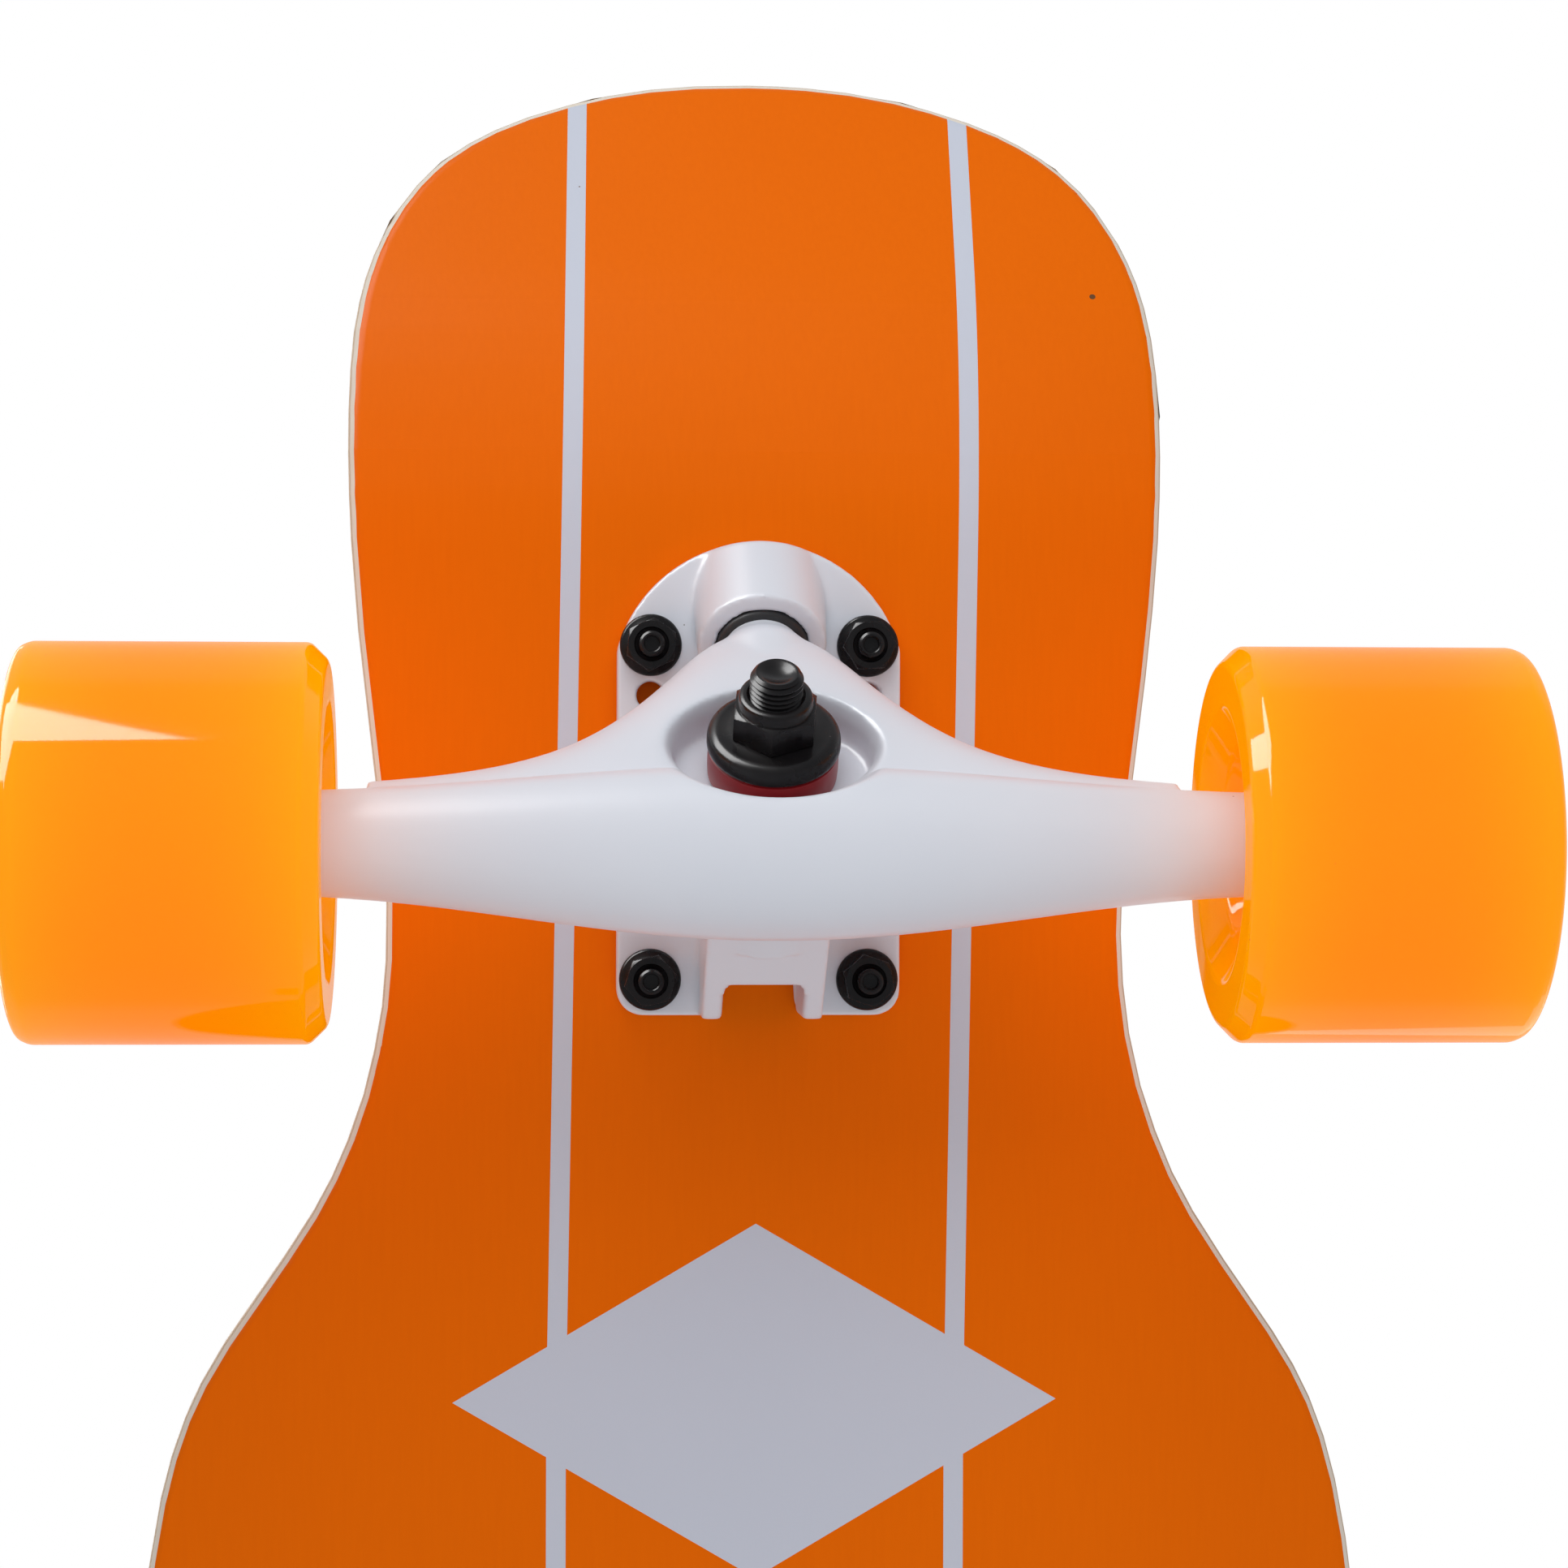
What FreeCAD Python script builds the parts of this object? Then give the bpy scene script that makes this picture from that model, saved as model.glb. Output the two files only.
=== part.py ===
import FreeCAD, Part
import math
import os

# Drop-waist longboard with two reverse-kingpin trucks and four wheels.
# X runs along the board with the nose at +X, Y to the left, Z up; the ground is Z = 0
# and the origin lies under the middle of the board.

V = FreeCAD.Vector

# ---- deck ----------------------------------------------------------------------
wheelbase = 750.0            # between the centres of the two bolt patterns
overhang = 147.0             # nose tip beyond the bolt centre, and the tail the same
deck_width = 240.0           # widest, through the middle
nose_width = 157.0           # widest of the nose and of the tail
waist_width = 142.2          # narrowest, just inboard of the trucks
deck_thickness = 11.0        # pressed maple plies
kick_start = 52.5            # where the kick begins, outboard of the bolt centre
kick_radius = 105.0          # bend of the underside of the kick
kick_angle = 32.0            # slope of the kick's straight end
grip_thickness = 0.8
grip_inset = 3.0             # the grip sheet stops this far inside the deck's edge

# ---- wheels and bearings ---------------------------------------------------------
wheel_diameter = 70.0
wheel_width = 53.7
wheel_inner_chamfer = 3.1
wheel_outer_round = 2.0
wheel_recess_radius = 24.5   # opening of the dished faces
wheel_hub_radius = 13.5      # foot of the dish, beside the bearing
wheel_tread_gap = 12.7       # inner face of the wheel to its inner bearing
bearing_outer = 22.0
bearing_width = 7.0
bearing_gap = 10.0           # between the two bearings of a wheel
core_lip_radius = 9.6        # urethane shoulder between the bearings
ball_diameter = 3.97
ball_count = 7
ring_shoulder = 1.75         # wall of a bearing ring at its shoulder
shield_thickness = 0.3
shield_set_in = 0.25
cage_width = 5.0
cage_wall = 1.5

# ---- truck -----------------------------------------------------------------------
axle_drop = 65.0             # underside of the deck down to the axle
axle_offset = -5.0           # axle, outboard of the bolt centre
hanger_width = 180.0         # between the shoulders that the wheels run against
arm_end_diameter = 18.4
arm_centre_width = 31.0      # fore and aft, at the middle of the arms
arm_centre_height = 23.0
kingpin_angle = 50.0         # kingpin, from the upright
ring_offset = 5.3            # centre of the hanger's ring, outboard of the bolt centre
ring_drop = 46.6             # and below the deck
ring_web = 5.0               # thickness of the ring
ring_bore = 17.0
bushing_room = 1.7           # between a bushing and the well it sits in
bowl_side_room = 4.6         # the same across the truck
bowl_step = 5.5              # from the ring's face up to where the bowl opens out
bowl_rise = 12.0             # and on to the bowl's widest
bowl_axle_flare = 13.2       # widening over that rise, towards the axle
bowl_pivot_flare = 2.0
bowl_side_flare = 6.0
wing_thickness = 18.0
wing_foot = 24.0             # the wing's root, from the ring towards the axle
wing_spread = 25.6           # how far out the wing keeps half its length
pivot_reach = 40.0           # ring centre to the mouth of the pivot cup
stem_radius = 10.0
stem_neck_radius = 7.3
stem_depth = 9.0             # into the cup
cup_radius = 8.7
cup_depth = 11.6
cup_proud = 0.8
boss_radius = 12.2
boss_flare = 1.2             # wider at the deck by this much
axle_diameter = 8.0
axle_nut_height = 8.0
axle_nut_flats = 12.7
axle_thread_show = 0.6
speed_washer_thickness = 1.0
speed_washer_wall = 1.4
spacer_wall = 1.4

# ---- kingpin stack, measured from the ring's middle plane --------------------------
kingpin_diameter = 9.525
kingpin_head_height = 6.0
kingpin_head_flats = 14.3
kingpin_nut_height = 7.9
kingpin_nut_collar = 2.4
kingpin_thread_show = 5.0
bushing_diameter = 23.6
bushing_cup_diameter = 21.0  # the end that sits in a cupped washer
roadside_bushing_height = 9.0
boardside_bushing_height = 14.8
washer_floor = 1.6
washer_rim = 2.4
washer_diameter = 24.0
boardside_washer_thickness = 1.5
seat_floor = 12.0            # wedge metal between the seat and the kingpin's head
seat_radius = 13.2
seat_margin = 0.9            # the wedge runs on past the round seat by this much
wedge_width = 22.6
wedge_back_height = 19.0

# ---- baseplate and its bolts -------------------------------------------------------
plate_thickness = 7.0
plate_width = 54.0
plate_outboard = 51.5
plate_inboard = 38.6
plate_end_radius = 28.0
plate_corner_radius = 5.0
notch_width = 14.0
notch_depth = 6.6
bolts_lengthwise = 63.5
bolts_across = 41.3
spare_hole_step = 53.98      # the other common bolt pattern, from the same inner bolts
bolt_diameter = 4.8
bolt_head_diameter = 9.2
bolt_head_height = 2.7
bolt_socket_flats = 3.2
bolt_end_show = 3.4
nut_flats = 8.8
nut_height = 6.4
nut_flange_diameter = 11.8
nut_flange_height = 1.3

# ---- clearances --------------------------------------------------------------------
bolt_clearance = 0.35        # radial, of bolts in their holes
running_gap = 0.08           # radial, of parts that turn in one another
seat_gap = 0.10              # between a bushing and the hanger's ring
ring_gap = 0.45              # between a shield and the inner ring

# ---- places that follow ------------------------------------------------------------
wheel_radius = wheel_diameter / 2
deck_bottom = wheel_radius + axle_drop
deck_top = deck_bottom + deck_thickness
bolt_centre = wheelbase / 2
tip = bolt_centre + overhang
axle_radius = axle_diameter / 2
bearing_bore = axle_diameter
ball_pitch_diameter = (bearing_bore + bearing_outer) / 2
well_radius = bushing_diameter / 2 + bushing_room
seat_depth = ring_web / 2 + boardside_bushing_height + boardside_washer_thickness
head_depth = seat_depth + seat_floor
washer_back = ring_web / 2 + roadside_bushing_height + washer_floor
kingpin_tip = washer_back + kingpin_nut_height + kingpin_thread_show
arm_end = hanger_width / 2
inner_bearing = arm_end + speed_washer_thickness
outer_bearing = inner_bearing + bearing_width + bearing_gap
nut_start = outer_bearing + bearing_width + speed_washer_thickness
axle_half = nut_start + axle_nut_height + axle_thread_show
wheel_inner_face = inner_bearing - wheel_tread_gap

# A point of the truck is (outboard, across, up), from the bolt centre on the deck's underside.
ring_centre = V(ring_offset, 0, -ring_drop)
kingpin_frame = FreeCAD.Placement(ring_centre, FreeCAD.Rotation(V(0, 1, 0), 180 - kingpin_angle))
pivot_frame = FreeCAD.Placement(ring_centre, FreeCAD.Rotation(V(0, 1, 0), 90 - kingpin_angle))


def turned(profile):
    """A solid of revolution about Z from its (radius, height) corners."""
    corners = [V(radius, 0, height) for radius, height in profile]
    face = Part.Face(Part.makePolygon(corners + corners[:1]))
    return face.revolve(V(0, 0, 0), V(0, 0, 1), 360)


def tube(outer, inner, bottom, top):
    return turned([(inner, bottom), (outer, bottom), (outer, top), (inner, top)])


def hexagon(flats, bottom, top):
    radius = flats / math.sqrt(3)
    angles = [math.radians(60 * step) for step in range(7)]
    corners = [V(radius * math.cos(a), radius * math.sin(a), bottom) for a in angles]
    return Part.Face(Part.makePolygon(corners)).extrude(V(0, 0, top - bottom))


def rounded_hexagon(flats, bottom, top):
    """A hexagon whose corners are turned off at both ends, as on a nut."""
    corner = flats / math.sqrt(3)
    drop = (corner - flats / 2) * 0.6
    lens = turned([(0, bottom), (flats / 2, bottom), (corner, bottom + drop),
                   (corner, top - drop), (flats / 2, top), (0, top)])
    return hexagon(flats, bottom, top).common(lens)


def placed(shape, placement):
    moved = shape.copy()
    moved.transformShape(placement.toMatrix(), True)
    return moved


def along_axle(shape, side):
    """Turns a shape made on Z into the truck's frame, on the axle, at the left or right."""
    turn = FreeCAD.Rotation(V(1, 0, 0), -90 * side)
    return placed(shape, FreeCAD.Placement(V(axle_offset, 0, -axle_drop), turn))


def on_board(shape, end):
    """Puts a truck's piece under the nose (end 1) or, turned half round, the tail (end -1)."""
    turn = FreeCAD.Rotation(V(0, 0, 1), 0 if end > 0 else 180)
    return placed(shape, FreeCAD.Placement(V(end * bolt_centre, 0, deck_bottom), turn))


# ---- deck --------------------------------------------------------------------------

def kick_line(offset):
    """Edges of half the deck's side line, from the middle to the tip, this far above the underside."""
    start = bolt_centre + kick_start
    slope = math.radians(kick_angle)
    radius = kick_radius - offset
    centre = V(start, 0, deck_bottom + kick_radius)
    bend = [centre + V(radius * math.sin(a), 0, -radius * math.cos(a)) for a in (0, slope / 2, slope)]
    run = (tip + deck_thickness - bend[2].x) / math.cos(slope)
    end = bend[2] + V(run * math.cos(slope), 0, run * math.sin(slope))
    return bend, end


def side_slab(low, high):
    """The bent sheet between two heights above the deck's underside, wider than the deck."""
    low_bend, low_end = kick_line(low)
    high_bend, high_end = kick_line(high)

    def mirror(point):
        return V(-point.x, 0, point.z)

    def half(bend, end):
        return [Part.Arc(bend[0], bend[1], bend[2]).toShape(), Part.LineSegment(bend[2], end).toShape()]

    edges = half(low_bend, low_end) + half(high_bend, high_end)
    edges += half([mirror(p) for p in low_bend], mirror(low_end))
    edges += half([mirror(p) for p in high_bend], mirror(high_end))
    edges += [Part.LineSegment(mirror(low_bend[0]), low_bend[0]).toShape(),
              Part.LineSegment(mirror(high_bend[0]), high_bend[0]).toShape(),
              Part.LineSegment(low_end, high_end).toShape(),
              Part.LineSegment(mirror(low_end), mirror(high_end)).toShape()]
    face = Part.Face(Part.Wire(Part.__sortEdges__(edges)))
    slab = face.extrude(V(0, 2 * deck_width, 0))
    slab.translate(V(0, -deck_width, 0))
    return slab


def plan_prism(inset):
    """The deck's outline seen from above, drawn in by an inset and extruded upright."""
    middle = deck_width / 2 - inset
    nose = nose_width / 2 - inset
    waist = waist_width / 2 - inset
    flare = middle - waist
    nose_side = [(tip - inset, 0),
                 (tip - inset - 6.5, nose - 37.5),
                 (tip - inset - 18.0, nose - 17.0),
                 (tip - inset - 36.0, nose - 5.0),
                 (tip - inset - 70.0, nose),
                 (bolt_centre + 20.0, (nose + waist) / 2),
                 (bolt_centre - 31.0, waist),
                 (bolt_centre - 75.0, waist + 0.26 * flare),
                 (bolt_centre - 113.0, waist + 0.75 * flare),
                 (bolt_centre - 148.0, middle - 3.8),
                 (bolt_centre - 185.0, middle - 0.6),
                 (bolt_centre - 225.0, middle),
                 (bolt_centre - 300.0, middle)]
    side = nose_side + [(-x, y) for x, y in reversed(nose_side)]
    curve = Part.BSplineCurve()
    curve.interpolate([V(x, y, 0) for x, y in side],
                      InitialTangent=V(0, 1, 0), FinalTangent=V(0, -1, 0))
    straight = nose_side[-1][0]
    curve.segment(curve.FirstParameter, curve.parameter(V(straight, middle, 0)))
    quarter = curve.toShape()
    across = quarter.mirror(V(0, 0, 0), V(0, 1, 0))
    edges = [quarter, across]
    edges += [edge.mirror(V(0, 0, 0), V(1, 0, 0)) for edge in (quarter, across)]
    edges += [Part.LineSegment(V(straight, s * middle, 0), V(-straight, s * middle, 0)).toShape()
              for s in (-1, 1)]
    face = Part.Face(Part.Wire(Part.__sortEdges__(edges)))
    return face.extrude(V(0, 0, 2 * deck_top))


def bolt_places():
    """The four bolts of one truck, in its own frame."""
    return [(s * bolts_lengthwise / 2, t * bolts_across / 2) for s in (-1, 1) for t in (-1, 1)]


def spare_places():
    inboard = -bolts_lengthwise / 2
    return [(inboard + spare_hole_step, t * bolts_across / 2) for t in (-1, 1)]


def bolt_holes():
    """Cutters through deck and grip for all eight bolts, countersunk for their heads."""
    top = deck_thickness + grip_thickness
    radius = bolt_diameter / 2 + bolt_clearance
    head = bolt_head_diameter / 2 + bolt_clearance
    sunk = top - bolt_head_height
    cutter = turned([(0, -1), (radius, -1), (radius, sunk), (head, top), (head, top + 1), (0, top + 1)])
    holes = []
    for end in (1, -1):
        for x, y in bolt_places():
            hole = cutter.copy()
            hole.translate(V(x, y, 0))
            holes.append(on_board(hole, end))
    return holes


def deck():
    board = side_slab(0, deck_thickness).common(plan_prism(0)).Solids[0]
    return board.cut(bolt_holes())


def grip_tape():
    sheet = side_slab(deck_thickness, deck_thickness + grip_thickness)
    sheet = sheet.common(plan_prism(grip_inset)).Solids[0]
    return sheet.cut(bolt_holes())


# ---- truck -------------------------------------------------------------------------

def plate_blank(bottom, top):
    """The baseplate's outline: round outboard end, straight sides, rounded inboard corners."""
    half = plate_width / 2
    length = plate_outboard + plate_inboard
    block = Part.makeBox(length, plate_width, top - bottom, V(-plate_inboard, -half, bottom))
    corners = [edge for edge in block.Edges
               if edge.BoundBox.ZLength > (top - bottom) / 2 and edge.BoundBox.XMin < 0]
    block = block.makeFillet(plate_corner_radius, corners)
    disc_centre = plate_outboard - plate_end_radius
    disc = Part.makeCylinder(plate_end_radius, top - bottom, V(disc_centre, 0, bottom))
    square = Part.makeBox(disc_centre + plate_inboard, plate_width, top - bottom,
                          V(-plate_inboard, -half, bottom))
    return block.common(disc.fuse(square))


def wedge():
    """The raised seat that holds the kingpin at its angle."""
    lean = math.radians(kingpin_angle)
    seat = kingpin_frame.multVec(V(0, 0, -seat_depth))
    along_seat = V(math.cos(lean), 0, math.sin(lean))
    low = seat - along_seat * (seat_radius + seat_margin)
    high = seat + along_seat * (seat_radius + seat_margin)
    back = -plate_inboard
    corners = [V(back, 0, -plate_thickness / 2), V(back, 0, -wedge_back_height), low, high,
               V(high.x + seat_radius / 2, 0, -plate_thickness / 2)]
    side = Part.Face(Part.makePolygon(corners + corners[:1]))
    block = side.extrude(V(0, wedge_width, 0))
    block.translate(V(0, -wedge_width / 2, 0))
    rest = placed(Part.makeCylinder(seat_radius, seat_floor, V(0, 0, -head_depth)), kingpin_frame)
    return block.fuse(rest)


def baseplate():
    plate = plate_blank(-plate_thickness, 0)
    boss = turned([(0, pivot_reach), (boss_radius, pivot_reach),
                   (boss_radius + boss_flare, 2 * pivot_reach), (0, 2 * pivot_reach)])
    boss = placed(boss, pivot_frame)
    body = plate.fuse([wedge(), boss]).common(plate_blank(-2 * ring_drop, 0))
    flats = kingpin_head_flats + 2 * bolt_clearance
    corners = 2 * flats / math.sqrt(3)
    head_way = Part.makeBox(corners, flats, 2 * plate_width,
                            V(-corners / 2, -flats / 2, -head_depth - 2 * plate_width))
    cutters = [placed(head_way, kingpin_frame),
               placed(Part.makeCylinder(kingpin_diameter / 2, 2 * head_depth, V(0, 0, -head_depth - 1)),
                      kingpin_frame),
               placed(turned([(0, pivot_reach - 1), (cup_radius, pivot_reach - 1),
                              (cup_radius, pivot_reach + cup_depth), (0, pivot_reach + cup_depth)]),
                      pivot_frame),
               Part.makeBox(notch_depth + 1, notch_width, 2 * ring_drop,
                            V(-plate_inboard - 1, -notch_width / 2, -2 * ring_drop))]
    hole = bolt_diameter / 2 + bolt_clearance
    cutters += [Part.makeCylinder(hole, plate_thickness + 2, V(x, y, -plate_thickness - 1))
                for x, y in bolt_places() + spare_places()]
    return body.cut(cutters)


def pivot_cup():
    """Urethane cup pressed into the boss; its bore follows the stem's end."""
    mouth = pivot_reach - cup_proud
    inner = stem_neck_radius + running_gap
    floor = pivot_reach + stem_depth + running_gap
    cup = turned([(inner, mouth), (cup_radius, mouth), (cup_radius, pivot_reach + cup_depth),
                  (0, pivot_reach + cup_depth), (0, floor), (inner * 0.6, floor), (inner, floor - 3.0)])
    return placed(cup, pivot_frame)


def arm_beam():
    """The beam around the axle, oval and deeper at its middle, round at its ends."""
    sections = []
    for step in range(-4, 5):
        share = abs(step) / 4
        fall = 0.5 + 0.5 * math.cos(math.pi * share)
        wide = arm_end_diameter / 2 + (arm_centre_width - arm_end_diameter) / 2 * fall
        tall = arm_end_diameter / 2 + (arm_centre_height - arm_end_diameter) / 2 * fall
        set_back = (arm_centre_width - arm_end_diameter) / 8 * fall
        centre = V(axle_offset - set_back, step / 4 * arm_end, -axle_drop)
        oval = Part.Ellipse(V(0, 0, 0), wide, tall)
        oval.transform(FreeCAD.Placement(centre, FreeCAD.Rotation(V(1, 0, 0), 90)).toMatrix())
        sections.append(Part.Wire(oval.toShape()))
    return Part.makeLoft(sections, True, False)


def wing():
    """The gull wing that carries the ring and narrows to the pivot stem."""
    middle_length = wing_foot + pivot_reach
    reach = arm_end * 0.8
    sections = []
    for step in range(-8, 9):
        across = reach * step / 8
        falling = 1 + (abs(across) / wing_spread) ** 2.4
        thick = wing_thickness * (0.8 + 0.2 / falling)
        length = thick + (middle_length - wing_thickness) / falling
        centre = V(wing_foot - length / 2, across, ring_web / 2)
        oval = Part.Ellipse(V(0, 0, 0), length / 2, thick / 2)
        oval.transform(FreeCAD.Placement(centre, FreeCAD.Rotation(V(1, 0, 0), 90)).toMatrix())
        sections.append(Part.Wire(oval.toShape()))
    return placed(Part.makeLoft(sections, True, False), kingpin_frame)


def pivot_stem():
    end = pivot_reach + stem_depth
    shoulder = pivot_reach - cup_proud - 1.0
    stem = turned([(0, ring_bore), (stem_radius, ring_bore), (stem_radius, shoulder - 5.0),
                   (stem_radius - 1.2, shoulder - 1.8), (stem_neck_radius, shoulder),
                   (stem_neck_radius, end - 3.0), (stem_neck_radius * 0.6, end), (0, end)])
    return placed(stem, pivot_frame)


def bowl_cutters():
    """The well of the roadside bushing, and the wide bowl that it opens into."""
    side = well_radius + bowl_side_room

    def oval(height, towards_axle, towards_pivot, across):
        curve = Part.Ellipse(V(0, 0, 0), across, (towards_axle + towards_pivot) / 2)
        centre = V((towards_axle - towards_pivot) / 2, 0, height)
        curve.transform(FreeCAD.Placement(centre, FreeCAD.Rotation(V(0, 0, 1), 90)).toMatrix())
        return Part.Wire(curve.toShape())

    floor = ring_web / 2
    step = floor + bowl_step
    foot = oval(floor, well_radius, well_radius, side)
    mouth = oval(step, well_radius, well_radius, side)
    rim = oval(step + bowl_rise, well_radius + bowl_axle_flare, well_radius + bowl_pivot_flare,
               side + bowl_side_flare)
    return [Part.makeLoft([foot, mouth], True, True), Part.makeLoft([mouth, rim], True, True)]


def hanger():
    body = arm_beam().fuse([wing(), pivot_stem()])
    cutters = [placed(shape, kingpin_frame) for shape in bowl_cutters()]
    cutters += [placed(tube(well_radius, 0, -ring_drop, -ring_web / 2), kingpin_frame),
                placed(Part.makeCylinder(ring_bore / 2, ring_drop, V(0, 0, -ring_drop / 2)), kingpin_frame),
                along_axle(Part.makeCylinder(axle_radius, 2 * arm_end + 2, V(0, 0, -arm_end - 1)), 1)]
    cast = body.cut(cutters)
    return max(cast.Solids, key=lambda solid: solid.Volume)


def axle():
    chamfer = 0.8
    profile = [(0, -axle_half), (axle_radius - chamfer, -axle_half), (axle_radius, chamfer - axle_half),
               (axle_radius, axle_half - chamfer), (axle_radius - chamfer, axle_half), (0, axle_half)]
    return along_axle(turned(profile), 1)


def kingpin():
    radius = kingpin_diameter / 2
    dish = 1.2
    shank = turned([(0, -head_depth), (radius, -head_depth), (radius, kingpin_tip - 1.0),
                    (radius - 1.0, kingpin_tip), (radius - 1.8, kingpin_tip), (0, kingpin_tip - dish)])
    head = rounded_hexagon(kingpin_head_flats, -head_depth - kingpin_head_height, -head_depth)
    return placed(shank.fuse(head), kingpin_frame)


def kingpin_nut():
    bottom = washer_back
    top = washer_back + kingpin_nut_height
    shoulder = top - kingpin_nut_collar
    body = rounded_hexagon(kingpin_head_flats, bottom, shoulder)
    collar = kingpin_head_flats / 2 - 0.5
    crown = turned([(0, shoulder - 0.5), (collar, shoulder - 0.5), (collar, top - 0.8),
                    (collar - 0.8, top), (0, top)])
    bore = Part.makeCylinder(kingpin_diameter / 2, kingpin_nut_height + 2, V(0, 0, bottom - 1))
    return placed(body.fuse(crown).cut(bore), kingpin_frame)


def roadside_washer():
    """Cupped washer, open towards the hanger, with a rounded rim."""
    inner = kingpin_diameter / 2
    outer = washer_diameter / 2
    cup = bushing_cup_diameter / 2
    floor = washer_back - washer_floor
    rim = floor - washer_rim
    profile = [(inner, floor), (cup, floor), (cup, rim), (outer - 0.9, rim), (outer, rim + 0.9),
               (outer, floor + 0.2), (outer - 0.7, washer_back - 0.4), (outer - 2.0, washer_back),
               (inner, washer_back)]
    return placed(turned(profile), kingpin_frame)


def roadside_bushing():
    inner = kingpin_diameter / 2 + bolt_clearance
    outer = bushing_diameter / 2
    cup = bushing_cup_diameter / 2
    bottom = ring_web / 2 + seat_gap
    top = ring_web / 2 + roadside_bushing_height
    profile = [(inner, bottom), (outer, bottom), (outer, top - washer_rim), (cup, top - washer_rim),
               (cup, top), (inner, top)]
    return placed(turned(profile), kingpin_frame)


def boardside_bushing():
    inner = kingpin_diameter / 2 + bolt_clearance
    outer = bushing_diameter / 2
    top = -ring_web / 2 - seat_gap
    bottom = -ring_web / 2 - boardside_bushing_height
    profile = [(inner, bottom), (outer - 0.6, bottom), (outer, bottom + 1.0), (outer, top - 1.0),
               (outer - 0.6, top), (inner, top)]
    return placed(turned(profile), kingpin_frame)


def boardside_washer():
    bottom = -seat_depth
    ring = tube(washer_diameter / 2, kingpin_diameter / 2, bottom, bottom + boardside_washer_thickness)
    return placed(ring, kingpin_frame)


def mounting_bolts():
    """Countersunk socket bolts, down from the grip's surface, with dished ends."""
    radius = bolt_diameter / 2
    head = bolt_head_diameter / 2
    top = deck_thickness + grip_thickness
    end = -plate_thickness - nut_height - bolt_end_show
    shape = turned([(0, end + 1.0), (radius - 0.9, end), (radius - 0.5, end), (radius, end + 0.5),
                    (radius, top - bolt_head_height), (head, top - 0.1), (0, top - 0.1)])
    shape = shape.cut(hexagon(bolt_socket_flats, top - 2.0, top + 1.0))
    return group_at(shape, bolt_places())


def mounting_nuts():
    radius = bolt_diameter / 2
    flange = nut_flange_diameter / 2
    seat = -plate_thickness
    skirt = turned([(0, seat), (flange, seat), (flange, seat - nut_flange_height * 0.6),
                    (nut_flats / 2, seat - nut_flange_height - 0.6), (0, seat - nut_flange_height - 0.6)])
    body = rounded_hexagon(nut_flats, seat - nut_height, seat - nut_flange_height * 0.5)
    bore = Part.makeCylinder(radius, nut_height + 2, V(0, 0, seat - nut_height - 1))
    return group_at(skirt.fuse(body).cut(bore), bolt_places())


def group_at(shape, places):
    copies = []
    for x, y in places:
        one = shape.copy()
        one.translate(V(x, y, 0))
        copies.append(one)
    return Part.makeCompound(copies)


def both_sides(shape):
    return Part.makeCompound([along_axle(shape, side) for side in (1, -1)])


def axle_nuts():
    top = nut_start + axle_nut_height
    body = rounded_hexagon(axle_nut_flats, nut_start, top - 2.0)
    collar = turned([(0, top - 2.5), (axle_nut_flats / 2 - 0.6, top - 2.5),
                     (axle_nut_flats / 2 - 0.6, top - 0.7), (axle_nut_flats / 2 - 1.3, top), (0, top)])
    bore = Part.makeCylinder(axle_radius, axle_nut_height + 2, V(0, 0, nut_start - 1))
    return both_sides(body.fuse(collar).cut(bore))


def speed_washers():
    rings = [tube(axle_radius + speed_washer_wall, axle_radius, start, start + speed_washer_thickness)
             for start in (arm_end, nut_start - speed_washer_thickness)]
    return Part.makeCompound([along_axle(ring, side) for ring in rings for side in (1, -1)])


def bearing_spacers():
    start = inner_bearing + bearing_width
    return both_sides(tube(axle_radius + spacer_wall, axle_radius, start, start + bearing_gap))


# ---- wheels and bearings -------------------------------------------------------------

def wheel():
    """Cast urethane: dished faces, two bearing seats and the shoulder between them."""
    inner = wheel_inner_face
    outer = wheel_inner_face + wheel_width
    seat = bearing_outer / 2
    edge = wheel_radius - wheel_inner_chamfer
    round_edge = wheel_outer_round
    bearing_ends = (inner_bearing + bearing_width, outer_bearing, outer_bearing + bearing_width)
    profile = [(wheel_recess_radius, inner), (edge, inner), (wheel_radius, inner + wheel_inner_chamfer),
               (wheel_radius, outer - round_edge), (wheel_radius - 0.3 * round_edge, outer - 0.3 * round_edge),
               (wheel_radius - round_edge, outer), (wheel_recess_radius, outer),
               (wheel_recess_radius - 2.5, outer - 2.0), (wheel_hub_radius, bearing_ends[2] + 2.0),
               (seat, bearing_ends[2] + 1.0), (seat, bearing_ends[1]), (core_lip_radius, bearing_ends[1]),
               (core_lip_radius, bearing_ends[0]), (seat, bearing_ends[0]), (seat, inner_bearing - 1.0),
               (wheel_hub_radius, inner_bearing - 2.0), (wheel_recess_radius - 2.5, inner + 2.0)]
    return turned(profile)


def groove():
    """Ball track cutter: a ring of round section a hair larger than the balls."""
    return Part.makeTorus(ball_pitch_diameter / 2, ball_diameter / 2 + running_gap,
                          V(0, 0, bearing_width / 2))


def outer_ring():
    ring = tube(bearing_outer / 2, bearing_outer / 2 - ring_shoulder, 0, bearing_width)
    return ring.cut(groove())


def inner_ring():
    ring = tube(bearing_bore / 2 + ring_shoulder, bearing_bore / 2, 0, bearing_width)
    return ring.cut(groove())


def ball_centres():
    radius = ball_pitch_diameter / 2
    turns = [2 * math.pi * step / ball_count for step in range(ball_count)]
    return [V(radius * math.cos(a), radius * math.sin(a), bearing_width / 2) for a in turns]


def balls():
    return Part.makeCompound([Part.makeSphere(ball_diameter / 2, centre) for centre in ball_centres()])


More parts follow.
